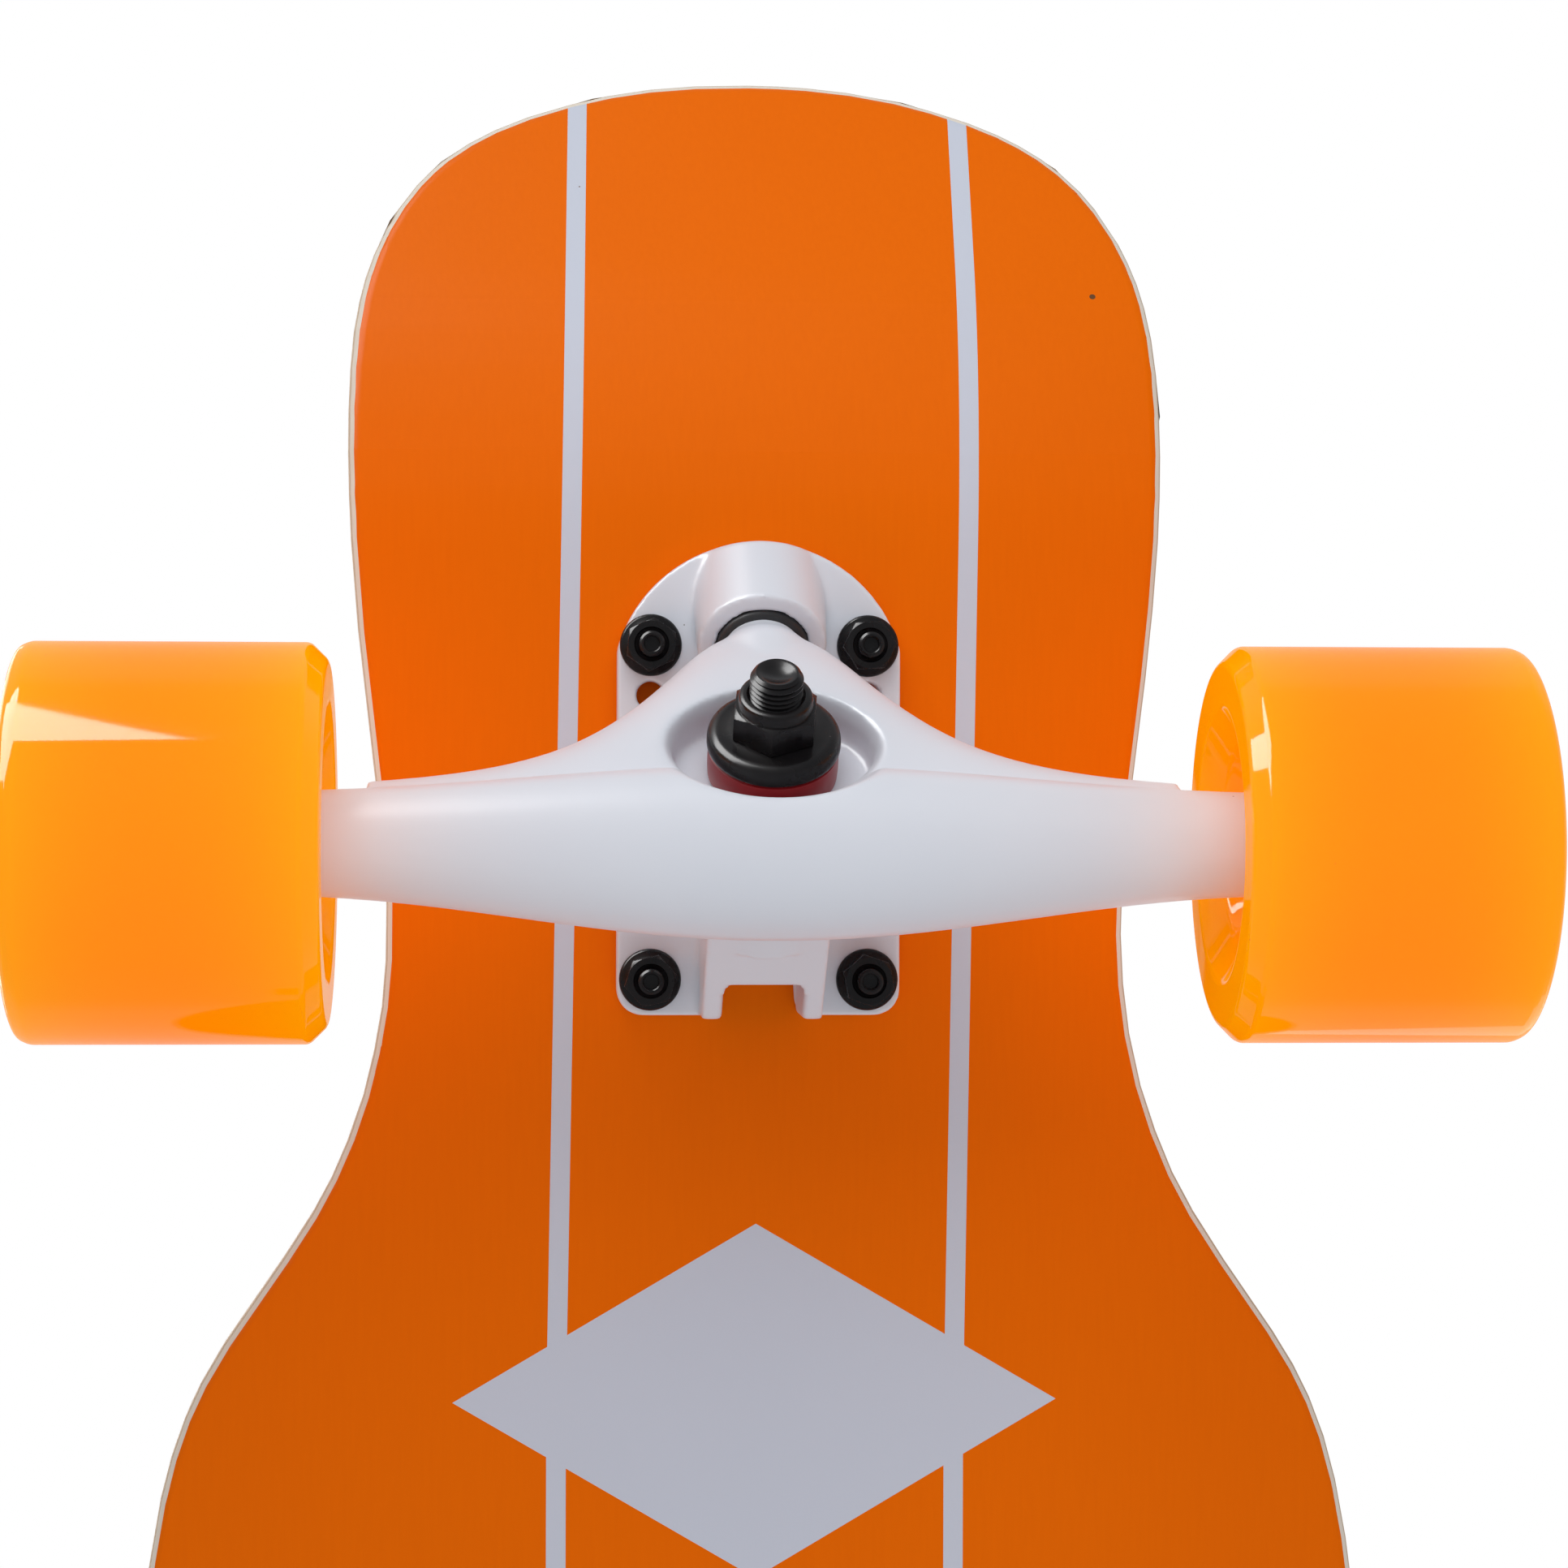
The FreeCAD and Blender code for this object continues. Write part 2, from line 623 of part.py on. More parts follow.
def cage():
    middle = ball_pitch_diameter / 2
    bottom = (bearing_width - cage_width) / 2
    ring = tube(middle + cage_wall / 2, middle - cage_wall / 2, bottom, bottom + cage_width)
    pockets = []
    for centre in ball_centres():
        outward = V(centre.x, centre.y, 0).normalize()
        pockets.append(Part.makeCylinder(ball_diameter / 2 + running_gap, 2 * ball_diameter,
                                         centre - outward * ball_diameter, outward))
    return ring.cut(pockets)


def shields():
    inner = bearing_bore / 2 + ring_shoulder + ring_gap
    outer = bearing_outer / 2 - ring_shoulder
    low = tube(outer, inner, shield_set_in, shield_set_in + shield_thickness)
    high = tube(outer, inner, bearing_width - shield_set_in - shield_thickness,
                bearing_width - shield_set_in)
    return Part.makeCompound([low, high])


def pair_of(piece):
    """The same bearing piece in the inner and the outer bearing of a wheel."""
    copies = []
    for start in (inner_bearing, outer_bearing):
        one = piece.copy()
        one.translate(V(0, 0, start))
        copies += one.Solids
    return Part.makeCompound(copies)


# ---- writing the nodes -----------------------------------------------------------------

def export(shape, node):
    shape.exportStep("parts/" + node + ".step")


os.makedirs("parts", exist_ok=True)
export(deck(), "deck")
export(grip_tape(), "grip_tape")

truck_pieces = {"baseplate": baseplate(), "pivot_cup": pivot_cup(), "hanger": hanger(), "axle": axle(),
                "kingpin": kingpin(), "kingpin_nut": kingpin_nut(),
                "roadside_washer": roadside_washer(), "boardside_washer": boardside_washer(),
                "roadside_bushing": roadside_bushing(), "boardside_bushing": boardside_bushing(),
                "mounting_bolts": mounting_bolts(), "mounting_nuts": mounting_nuts(),
                "axle_nuts": axle_nuts(), "speed_washers": speed_washers(),
                "bearing_spacers": bearing_spacers()}
wheel_pieces = {"wheel": wheel(), "bearing_outer_rings": pair_of(outer_ring()),
                "bearing_inner_rings": pair_of(inner_ring()), "bearing_balls": pair_of(balls()),
                "bearing_cages": pair_of(cage()), "bearing_shields": pair_of(shields())}

for end, end_name in ((1, "front"), (-1, "rear")):
    for name, shape in truck_pieces.items():
        export(on_board(shape, end), end_name + "_" + name)
    for side, side_name in ((1, "left"), (-1, "right")):
        for name, shape in wheel_pieces.items():
            corner = on_board(along_axle(shape, side * end), end)
            export(corner, end_name + "_" + side_name + "_" + name)
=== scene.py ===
import math

import bmesh
import bpy
from mathutils import Matrix, Vector


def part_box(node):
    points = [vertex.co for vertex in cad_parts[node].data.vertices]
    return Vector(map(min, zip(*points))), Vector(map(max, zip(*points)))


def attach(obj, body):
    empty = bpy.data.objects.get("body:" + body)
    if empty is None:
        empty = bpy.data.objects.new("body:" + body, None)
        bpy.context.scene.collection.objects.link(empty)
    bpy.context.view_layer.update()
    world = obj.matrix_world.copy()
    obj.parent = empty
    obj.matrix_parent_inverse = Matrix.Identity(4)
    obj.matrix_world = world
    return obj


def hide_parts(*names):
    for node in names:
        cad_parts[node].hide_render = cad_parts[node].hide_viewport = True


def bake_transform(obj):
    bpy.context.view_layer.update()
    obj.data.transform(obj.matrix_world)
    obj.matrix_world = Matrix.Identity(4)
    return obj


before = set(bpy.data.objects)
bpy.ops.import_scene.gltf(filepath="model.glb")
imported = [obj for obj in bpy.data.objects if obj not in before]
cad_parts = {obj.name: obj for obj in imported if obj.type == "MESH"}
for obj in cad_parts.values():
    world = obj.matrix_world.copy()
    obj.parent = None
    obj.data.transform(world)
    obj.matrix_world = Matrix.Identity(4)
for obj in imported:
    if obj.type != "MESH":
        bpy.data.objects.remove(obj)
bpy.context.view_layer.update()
mm = 0.001

# ---- Studio ------------------------------------------------------------------------
# White cyclorama lit by large softboxes, with a pale floor under the wheels. The board
# is looked at from below, so the floor shows only from above and casts no shade.

front_axle_low, front_axle_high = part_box("front_axle")
axle_x = (front_axle_low.x + front_axle_high.x) / 2
axle_z = (front_axle_low.z + front_axle_high.z) / 2
nuts_low, nuts_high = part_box("front_mounting_nuts")
bolt_x = (nuts_low.x + nuts_high.x) / 2
deck_low, deck_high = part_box("deck")
underside = deck_low.z


def new_material(name):
    """A material, its node tree and the Principled shader that feeds its output."""
    material = bpy.data.materials.new(name)
    material.use_nodes = True
    tree = material.node_tree
    tree.nodes.clear()
    shader = tree.nodes.new("ShaderNodeBsdfPrincipled")
    output = tree.nodes.new("ShaderNodeOutputMaterial")
    tree.links.new(shader.outputs["BSDF"], output.inputs["Surface"])
    return material, tree, shader


def floor_material():
    material, tree, shader = new_material("studio_floor")
    shader.inputs["Roughness"].default_value = 0.7
    texture = tree.nodes.new("ShaderNodeTexNoise")
    texture.inputs["Scale"].default_value = 3.0
    ramp = tree.nodes.new("ShaderNodeValToRGB")
    ramp.color_ramp.elements[0].color = (0.78, 0.78, 0.77, 1)
    ramp.color_ramp.elements[1].color = (0.84, 0.84, 0.83, 1)
    tree.links.new(texture.outputs["Fac"], ramp.inputs["Fac"])
    tree.links.new(ramp.outputs["Color"], shader.inputs["Base Color"])
    clear = tree.nodes.new("ShaderNodeBsdfTransparent")
    ray = tree.nodes.new("ShaderNodeLightPath")
    side = tree.nodes.new("ShaderNodeNewGeometry")
    front = tree.nodes.new("ShaderNodeMath")
    front.operation = "SUBTRACT"
    front.use_clamp = True
    tree.links.new(ray.outputs["Is Camera Ray"], front.inputs[0])
    tree.links.new(side.outputs["Backfacing"], front.inputs[1])
    mix = tree.nodes.new("ShaderNodeMixShader")
    tree.links.new(front.outputs[0], mix.inputs["Fac"])
    tree.links.new(clear.outputs["BSDF"], mix.inputs[1])
    tree.links.new(shader.outputs["BSDF"], mix.inputs[2])
    surface = tree.nodes["Material Output"].inputs["Surface"]
    tree.links.new(mix.outputs["Shader"], surface)
    return material


floor_mesh = bmesh.new()
bmesh.ops.create_grid(floor_mesh, x_segments=1, y_segments=1, size=4.0)
bmesh.ops.translate(floor_mesh, verts=floor_mesh.verts, vec=(0, 0, -0.2 * mm))
floor_data = bpy.data.meshes.new("floor")
floor_mesh.to_mesh(floor_data)
floor_mesh.free()
floor_data.materials.append(floor_material())
floor = bpy.data.objects.new("floor", floor_data)
bpy.context.scene.collection.objects.link(floor)

world = bpy.data.worlds.new("studio")
bpy.context.scene.world = world
world.use_nodes = True
sky = world.node_tree
backdrop = sky.nodes["Background"]
backdrop.inputs["Color"].default_value = (1, 1, 1, 1)
backdrop.inputs["Strength"].default_value = 1.0
room = sky.nodes.new("ShaderNodeBackground")
room.inputs["Color"].default_value = (0.93, 0.96, 1.0, 1)
direction = sky.nodes.new("ShaderNodeTexCoord")
split = sky.nodes.new("ShaderNodeSeparateXYZ")
sky.links.new(direction.outputs["Generated"], split.inputs["Vector"])
dim_below = sky.nodes.new("ShaderNodeMapRange")
dim_below.interpolation_type = "SMOOTHSTEP"
for name, value in (("From Min", 0.12), ("From Max", 0.38), ("To Min", 0.52), ("To Max", 0.85)):
    dim_below.inputs[name].default_value = value
sky.links.new(split.outputs["Z"], dim_below.inputs["Value"])
sky.links.new(dim_below.outputs["Result"], room.inputs["Strength"])
seen = sky.nodes.new("ShaderNodeLightPath")
either = sky.nodes.new("ShaderNodeMixShader")
sky.links.new(seen.outputs["Is Camera Ray"], either.inputs["Fac"])
sky.links.new(room.outputs["Background"], either.inputs[1])
sky.links.new(backdrop.outputs["Background"], either.inputs[2])
sky.links.new(either.outputs["Shader"], sky.nodes["World Output"].inputs["Surface"])
bpy.context.scene.view_settings.view_transform = "Standard"


def softbox(name, place, target, width, height, power, lights, mirrored):
    """A rectangular area light facing a target; it lights matt surfaces, shows in gloss, or both."""
    lamp = bpy.data.lights.new(name, "AREA")
    lamp.shape = "RECTANGLE"
    lamp.size = width
    lamp.size_y = height
    lamp.energy = power
    light = bpy.data.objects.new(name, lamp)
    light.location = place
    light.rotation_euler = (Vector(target) - Vector(place)).to_track_quat("-Z", "Y").to_euler()
    light.visible_diffuse = lights
    light.visible_glossy = mirrored
    bpy.context.scene.collection.objects.link(light)


front_truck = (bolt_x, 0, underside)
board_middle = (0, 0, underside)
softbox("gloss_nose_side", (bolt_x + 0.62, -0.50, -0.12), front_truck,
        width=0.70, height=0.60, power=26.0, lights=False, mirrored=True)
softbox("wash_below_nose", (bolt_x + 0.33, -0.04, -0.20), (bolt_x + 0.14, 0, underside),
        width=0.36, height=0.36, power=0.74, lights=True, mirrored=False)
softbox("fill_below_tail", (bolt_x - 0.62, 0.12, -0.42), front_truck,
        width=0.60, height=0.60, power=1.0, lights=True, mirrored=False)
softbox("top_key", (0.5, -1.2, 1.6), board_middle,
        width=1.4, height=1.0, power=16.0, lights=True, mirrored=True)
softbox("top_fill", (-0.9, 1.1, 1.3), board_middle,
        width=1.2, height=1.2, power=6.0, lights=True, mirrored=True)

camera_below_deck = 750.6 * mm
camera_outboard = 6.15 * mm
camera_to_right = 42.0 * mm
aim_outboard = 5.44 * mm
aim_to_left = 5.2 * mm
roll = math.radians(0.15)
camera_data = bpy.data.cameras.new("camera")
camera_data.sensor_width = 36.0
camera_data.lens = 89.9
camera_data.clip_end = 20.0
camera = bpy.data.objects.new("camera", camera_data)
camera.location = (bolt_x + camera_outboard, -camera_to_right, underside - camera_below_deck)
aim = Vector((bolt_x + aim_outboard, aim_to_left, underside))
forward = (aim - camera.location).normalized()
right = forward.cross(Vector((1, 0, 0))).normalized()
up = right.cross(forward)
turned_right = right * math.cos(roll) + up * math.sin(roll)
turned_up = up * math.cos(roll) - right * math.sin(roll)
facing = Matrix((turned_right, turned_up, -forward)).transposed()
camera.rotation_euler = facing.to_euler()
bpy.context.scene.collection.objects.link(camera)
bpy.context.scene.camera = camera

# ---- Deck --------------------------------------------------------------------------
# Cold-pressed maple plies with a sawn, rounded edge. The underside has orange lacquer
# with two pale stripes and a diamond at each end; the edge shows the bare plies.

deck_thickness = 11.0 * mm
deck_edge_round = 2.6 * mm
kick_start = bolt_x + 52.5 * mm
kick_radius = 105.0 * mm
kick_slope = math.radians(32.0)
stripe_from_middle = 38.2 * mm
stripe_half_width = 1.875 * mm
diamond_inboard = 113.0 * mm
diamond_half_length = 34.0 * mm
diamond_half_width = 58.0 * mm
stripe_bend = bolt_x - diamond_inboard
stripe_lean = math.tan(math.radians(0.85))
bolt_half_length = 31.75 * mm
bolt_half_width = 20.65 * mm
bolt_keep_clear = 8.0 * mm
outline_merge = 1.2 * mm


def copy_of_node(node):
    """The merged mesh of a CAD node, ready to be worked on."""
    shape = bmesh.new()
    shape.from_mesh(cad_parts[node].data)
    bmesh.ops.remove_doubles(shape, verts=shape.verts, dist=0.001 * mm)
    return shape


def finish_piece(shape, name, body, node, material, sharp=35):
    """Turns a bmesh into a smooth-shaded piece that rides on a body and stands for a node."""
    data = bpy.data.meshes.new(name)
    shape.to_mesh(data)
    shape.free()
    data.shade_smooth()
    data.set_sharp_from_angle(angle=math.radians(sharp))
    data.materials.append(material)
    piece = bpy.data.objects.new(name, data)
    bpy.context.scene.collection.objects.link(piece)
    if body:
        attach(piece, body)
    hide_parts(node)
    return piece


def kick_height(x, above):
    """Height of the deck's face this far above its underside, at a distance along the board."""
    along = abs(x) - kick_start
    radius = kick_radius - above
    bend_end = radius * math.sin(kick_slope)
    if along <= 0:
        return underside + above
    if along <= bend_end:
        return underside + kick_radius - math.sqrt(radius ** 2 - along ** 2)
    rise = kick_radius - radius * math.cos(kick_slope)
    return underside + rise + (along - bend_end) * math.tan(kick_slope)


def math_node(tree, operation, first, second=None, clamp=False):
    """A Math node fed by sockets or plain numbers; gives back its output."""
    node = tree.nodes.new("ShaderNodeMath")
    node.operation = operation
    node.use_clamp = clamp
    for slot_index, value in enumerate((first, second)):
        if value is None:
            continue
        if isinstance(value, (int, float)):
            node.inputs[slot_index].default_value = value
        else:
            tree.links.new(value, node.inputs[slot_index])
    return node.outputs[0]


def colour_mix(tree, share, first, second):
    """Mixes two colours, each a socket or an RGB triple, by a share socket."""
    node = tree.nodes.new("ShaderNodeMix")
    node.data_type = "RGBA"
    tree.links.new(share, node.inputs["Factor"])
    for key, value in ((6, first), (7, second)):
        if isinstance(value, tuple):
            node.inputs[key].default_value = (*value, 1)
        else:
            tree.links.new(value, node.inputs[key])
    return node.outputs[2]


def speck_group():
    """Dust specks and slow mottling, shared by the painted and moulded finishes."""
    group = bpy.data.node_groups.new("specks_and_mottle", "ShaderNodeTree")
    for name, kind, value in (("Speck Scale", "NodeSocketFloat", 90.0),
                              ("Speck Size", "NodeSocketFloat", 0.06),
                              ("Mottle Scale", "NodeSocketFloat", 14.0)):
        group.interface.new_socket(name=name, in_out="INPUT", socket_type=kind).default_value = value
    for name in ("Specks", "Mottle", "Grain"):
        group.interface.new_socket(name=name, in_out="OUTPUT", socket_type="NodeSocketFloat")
    inlet = group.nodes.new("NodeGroupInput")
    outlet = group.nodes.new("NodeGroupOutput")
    place = group.nodes.new("ShaderNodeTexCoord")
    cells = group.nodes.new("ShaderNodeTexVoronoi")
    group.links.new(place.outputs["Object"], cells.inputs["Vector"])
    group.links.new(inlet.outputs["Speck Scale"], cells.inputs["Scale"])
    dots = math_node(group, "LESS_THAN", cells.outputs["Distance"], inlet.outputs["Speck Size"])
    few = group.nodes.new("ShaderNodeTexNoise")
    few.inputs["Scale"].default_value = 23.0
    group.links.new(place.outputs["Object"], few.inputs["Vector"])
    some = math_node(group, "GREATER_THAN", few.outputs["Fac"], 0.60)
    specks = math_node(group, "MULTIPLY", dots, some)
    slow = group.nodes.new("ShaderNodeTexNoise")
    slow.inputs["Detail"].default_value = 3.0
    group.links.new(place.outputs["Object"], slow.inputs["Vector"])
    group.links.new(inlet.outputs["Mottle Scale"], slow.inputs["Scale"])
    fine = group.nodes.new("ShaderNodeTexNoise")
    fine.inputs["Scale"].default_value = 1400.0
    fine.inputs["Detail"].default_value = 2.0
    group.links.new(place.outputs["Object"], fine.inputs["Vector"])
    group.links.new(specks, outlet.inputs["Specks"])
    group.links.new(slow.outputs["Fac"], outlet.inputs["Mottle"])
    group.links.new(fine.outputs["Fac"], outlet.inputs["Grain"])
    return group


specks_and_mottle = speck_group()


def place_group(tree, group, **values):
    node = tree.nodes.new("ShaderNodeGroup")
    node.node_tree = group
    for name, value in values.items():
        node.inputs[name.replace("_", " ")].default_value = value
    return node


def bump(tree, shader, height, strength, distance):
    node = tree.nodes.new("ShaderNodeBump")
    node.inputs["Strength"].default_value = strength
    node.inputs["Distance"].default_value = distance
    tree.links.new(height, node.inputs["Height"])
    tree.links.new(node.outputs["Normal"], shader.inputs["Normal"])


def vary_roughness(tree, shader, source, spread, least):
    """Roughness that runs from its least value up by a spread, following a source."""
    rough = math_node(tree, "ADD", math_node(tree, "MULTIPLY", source, spread), least)
    tree.links.new(rough, shader.inputs["Roughness"])


def specked(tree, marks, strength, ground, speck):
    """A ground colour with specks of another laid over it at a strength."""
    share = math_node(tree, "MULTIPLY", marks.outputs["Specks"], strength)
    return colour_mix(tree, share, ground, speck)


def deck_material():
    material, tree, shader = new_material("orange_lacquer_and_ply")
    place = tree.nodes.new("ShaderNodeTexCoord")
    split = tree.nodes.new("ShaderNodeSeparateXYZ")
    tree.links.new(place.outputs["Object"], split.inputs["Vector"])
    along = math_node(tree, "ABSOLUTE", split.outputs["X"])
    across = math_node(tree, "ABSOLUTE", split.outputs["Y"])

    past_nose = math_node(tree, "MAXIMUM",
                          math_node(tree, "SUBTRACT", split.outputs["X"], stripe_bend), 0.0)
    past_tail = math_node(tree, "MINIMUM", math_node(tree, "ADD", split.outputs["X"], stripe_bend), 0.0)
    drift = math_node(tree, "MULTIPLY", math_node(tree, "ADD", past_nose, past_tail), stripe_lean)
    drawn = math_node(tree, "ABSOLUTE", math_node(tree, "SUBTRACT", split.outputs["Y"], drift))
    off_stripe = math_node(tree, "ABSOLUTE", math_node(tree, "SUBTRACT", drawn, stripe_from_middle))
    stripe = math_node(tree, "LESS_THAN", off_stripe, stripe_half_width)
    off_diamond = math_node(tree, "ABSOLUTE", math_node(tree, "SUBTRACT", along, stripe_bend))
    length_share = math_node(tree, "DIVIDE", off_diamond, diamond_half_length)
    width_share = math_node(tree, "DIVIDE", across, diamond_half_width)
    diamond = math_node(tree, "LESS_THAN", math_node(tree, "ADD", length_share, width_share), 1.0)
    pale = math_node(tree, "MAXIMUM", stripe, diamond)

    marks = place_group(tree, specks_and_mottle, Speck_Scale=55.0, Speck_Size=0.035, Mottle_Scale=9.0)
    stretch = tree.nodes.new("ShaderNodeMapping")
    stretch.inputs["Scale"].default_value = (14, 160, 160)
    tree.links.new(place.outputs["Object"], stretch.inputs["Vector"])
    wood = tree.nodes.new("ShaderNodeTexNoise")
    wood.inputs["Scale"].default_value = 6.0
    wood.inputs["Detail"].default_value = 4.0
    tree.links.new(stretch.outputs["Vector"], wood.inputs["Vector"])

    orange = colour_mix(tree, marks.outputs["Mottle"], (0.88, 0.150, 0.0), (0.96, 0.170, 0.0))
    orange = colour_mix(tree, math_node(tree, "MULTIPLY", wood.outputs["Fac"], 0.25), orange,
                        (0.78, 0.115, 0.0))
    grey = colour_mix(tree, marks.outputs["Mottle"], (0.60, 0.63, 0.72), (0.66, 0.69, 0.78))
    paint = colour_mix(tree, pale, orange, grey)
    paint = colour_mix(tree, marks.outputs["Specks"], paint, (0.16, 0.07, 0.03))

    layer = tree.nodes.new("ShaderNodeAttribute")
    layer.attribute_name = "ply_height"
    height = layer.outputs["Fac"]
    plies = math_node(tree, "FRACT", math_node(tree, "MULTIPLY", height, 4.5))
    odd = math_node(tree, "GREATER_THAN", plies, 0.5)
    maple = colour_mix(tree, wood.outputs["Fac"], (0.80, 0.70, 0.58), (0.90, 0.82, 0.71))
    cross_ply = colour_mix(tree, wood.outputs["Fac"], (0.56, 0.41, 0.28), (0.68, 0.53, 0.38))
    edge = colour_mix(tree, odd, maple, cross_ply)
    bare = math_node(tree, "GREATER_THAN", height, 0.035)
    tree.links.new(colour_mix(tree, bare, paint, edge), shader.inputs["Base Color"])
    lacquer = math_node(tree, "ADD", math_node(tree, "MULTIPLY", marks.outputs["Mottle"], 0.08), 0.30)
    rough = math_node(tree, "ADD", math_node(tree, "MULTIPLY", bare, 0.25), lacquer)
    tree.links.new(rough, shader.inputs["Roughness"])
    relief = math_node(tree, "ADD", math_node(tree, "MULTIPLY", wood.outputs["Fac"], 0.5),
                       math_node(tree, "MULTIPLY", marks.outputs["Grain"], 0.25))
    bump(tree, shader, relief, 0.12, 0.0003)
    shader.inputs["Specular IOR Level"].default_value = 0.04
    return material


deck = copy_of_node("deck")
bmesh.ops.dissolve_limit(deck, angle_limit=math.radians(0.5), verts=deck.verts, edges=deck.edges)


def near_bolt(point):
    place = (abs(point.x), abs(point.y))
    return any(math.dist(place, (bolt_x + way * bolt_half_length, bolt_half_width)) < bolt_keep_clear
               for way in (-1, 1))


outline = [vert for vert in deck.verts if not near_bolt(vert.co)]
bmesh.ops.remove_doubles(deck, verts=outline, dist=outline_merge)
bmesh.ops.dissolve_degenerate(deck, edges=deck.edges, dist=0.01 * mm)
rim = [edge for edge in deck.edges
       if len(edge.link_faces) == 2 and not near_bolt((edge.verts[0].co + edge.verts[1].co) / 2)
       and edge.calc_face_angle() > math.radians(50)]
bmesh.ops.bevel(deck, geom=rim, offset=deck_edge_round, offset_type="OFFSET", segments=5,
                profile=0.5, affect="EDGES", material=-1, clamp_overlap=False)
for axis, reach, pitch in ((0, deck_high.x, 6.0 * mm), (1, deck_high.y, 8.0 * mm)):
    cuts = int(reach / pitch)
    for cut in range(-cuts, cuts + 1):
        place = Vector((0, 0, 0))
        place[axis] = cut * pitch + 0.37 * mm
        normal = Vector((0, 0, 0))
        normal[axis] = 1
        bmesh.ops.bisect_plane(deck, geom=deck.verts[:] + deck.edges[:] + deck.faces[:],
                               dist=0.001 * mm, plane_co=place, plane_no=normal)
height_layer = deck.verts.layers.float.new("ply_height")
for vert in deck.verts:
    low = kick_height(vert.co.x, 0)
    high = kick_height(vert.co.x, deck_thickness)
    share = (vert.co.z - low) / (high - low)
    if share < 0.03:
        share = 0.0
    elif share > 0.97:
        share = 1.0
    vert[height_layer] = share
    vert.co.z = low + share * (high - low)
deck_piece = finish_piece(deck, "deck_board", "root", "deck", deck_material())
even = deck_piece.modifiers.new("flat_faces_shade_flat", "WEIGHTED_NORMAL")
even.weight = 60
even.keep_sharp = True

# ---- Grip sheet --------------------------------------------------------------------
# Black silicon-carbide grit on a self-adhesive backing, stuck on the top of the deck and
# cut back from its edge. The sheet itself is the frame's own shape.


def grip_material():
    material, tree, shader = new_material("grip_grit")
    place = tree.nodes.new("ShaderNodeTexCoord")
    grit = tree.nodes.new("ShaderNodeTexVoronoi")
    grit.inputs["Scale"].default_value = 1500.0
    tree.links.new(place.outputs["Object"], grit.inputs["Vector"])
    cloud = tree.nodes.new("ShaderNodeTexNoise")
    cloud.inputs["Scale"].default_value = 9.0
    tree.links.new(place.outputs["Object"], cloud.inputs["Vector"])
    sparkle = math_node(tree, "LESS_THAN", grit.outputs["Distance"], 0.22)
    body = colour_mix(tree, cloud.outputs["Fac"], (0.012, 0.012, 0.013), (0.030, 0.030, 0.032))
    tree.links.new(colour_mix(tree, sparkle, body, (0.11, 0.11, 0.12)), shader.inputs["Base Color"])
    shader.inputs["Roughness"].default_value = 0.85
    bump(tree, shader, grit.outputs["Distance"], 0.8, 0.0004)
    return material


def finish_node(node, material):
    """Gives a CAD node that stays its new material."""
    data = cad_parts[node].data
    data.materials.clear()
    data.materials.append(material)


finish_node("grip_tape", grip_material())

# ---- Truck castings ----------------------------------------------------------------
# Baseplate and hanger, gravity-cast aluminium with soft fillets everywhere, powder coated
# in white gloss. The hanger leans with its axle; the baseplate is bolted to the deck.

cast_voxel = 0.62 * mm
hanger_easing = 14
baseplate_easing = 5
ends = (("front", 1), ("rear", -1))


def white_coat_material():
    material, tree, shader = new_material("white_powder_coat")
    marks = place_group(tree, specks_and_mottle, Speck_Scale=150.0, Speck_Size=0.028, Mottle_Scale=30.0)
    white = colour_mix(tree, marks.outputs["Mottle"], (0.74, 0.765, 0.83), (0.79, 0.81, 0.865))
    tree.links.new(specked(tree, marks, 0.7, white, (0.20, 0.19, 0.18)), shader.inputs["Base Color"])
    vary_roughness(tree, shader, marks.outputs["Mottle"], 0.12, 0.28)
    shader.inputs["Specular IOR Level"].default_value = 0.30
    bump(tree, shader, marks.outputs["Mottle"], 0.05, 0.0004)
    return material


white_coat = white_coat_material()


def cast_piece(node, name, body, smoothing):
    """A casting from its CAD shape: every crease filled and every edge eased, as a mould leaves it."""
    piece = finish_piece(copy_of_node(node), name, None, node, white_coat, sharp=180)
    remesh = piece.modifiers.new("cast_skin", "REMESH")
    remesh.mode = "VOXEL"
    remesh.voxel_size = cast_voxel
    remesh.use_smooth_shade = True
    ease = piece.modifiers.new("cast_fillets", "SMOOTH")
    ease.factor = 0.5
    ease.iterations = smoothing
    bpy.context.view_layer.update()
    depsgraph = bpy.context.evaluated_depsgraph_get()
    made = bpy.data.meshes.new_from_object(piece.evaluated_get(depsgraph))
    piece.modifiers.clear()
    piece.data = made
    made.shade_smooth()
    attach(piece, body)
    return piece


for end_name, end in ends:
    cast_piece(end_name + "_hanger", end_name + "_hanger_casting", end_name + "_hanger_body",
               hanger_easing)
    cast_piece(end_name + "_baseplate", end_name + "_baseplate_casting", "root", baseplate_easing)

# ---- Black hardware ----------------------------------------------------------------
# Kingpins with their lock nuts and cupped washers, and the deck bolts with flange nuts:
# steel with an oiled black oxide finish. The kingpin clamps the bushings; bolts clamp the truck.

ring_place = Vector((5.3 * mm, 0, -46.6 * mm))
kingpin_lean = math.radians(130)
kingpin_radius = 4.7625 * mm
kingpin_flats = 14.3 * mm
kingpin_head_end = -36.8 * mm
kingpin_head_seat = -30.8 * mm
washer_back = 13.1 * mm
lock_nut_height = 7.9 * mm
lock_nut_shoulder = 5.5 * mm
kingpin_end = 26.0 * mm
plate_face = -7.0 * mm
bolt_spots = [(out * bolt_half_length, side * bolt_half_width) for out in (-1, 1) for side in (-1, 1)]
nut_turns = (12, 41, 25, 3)


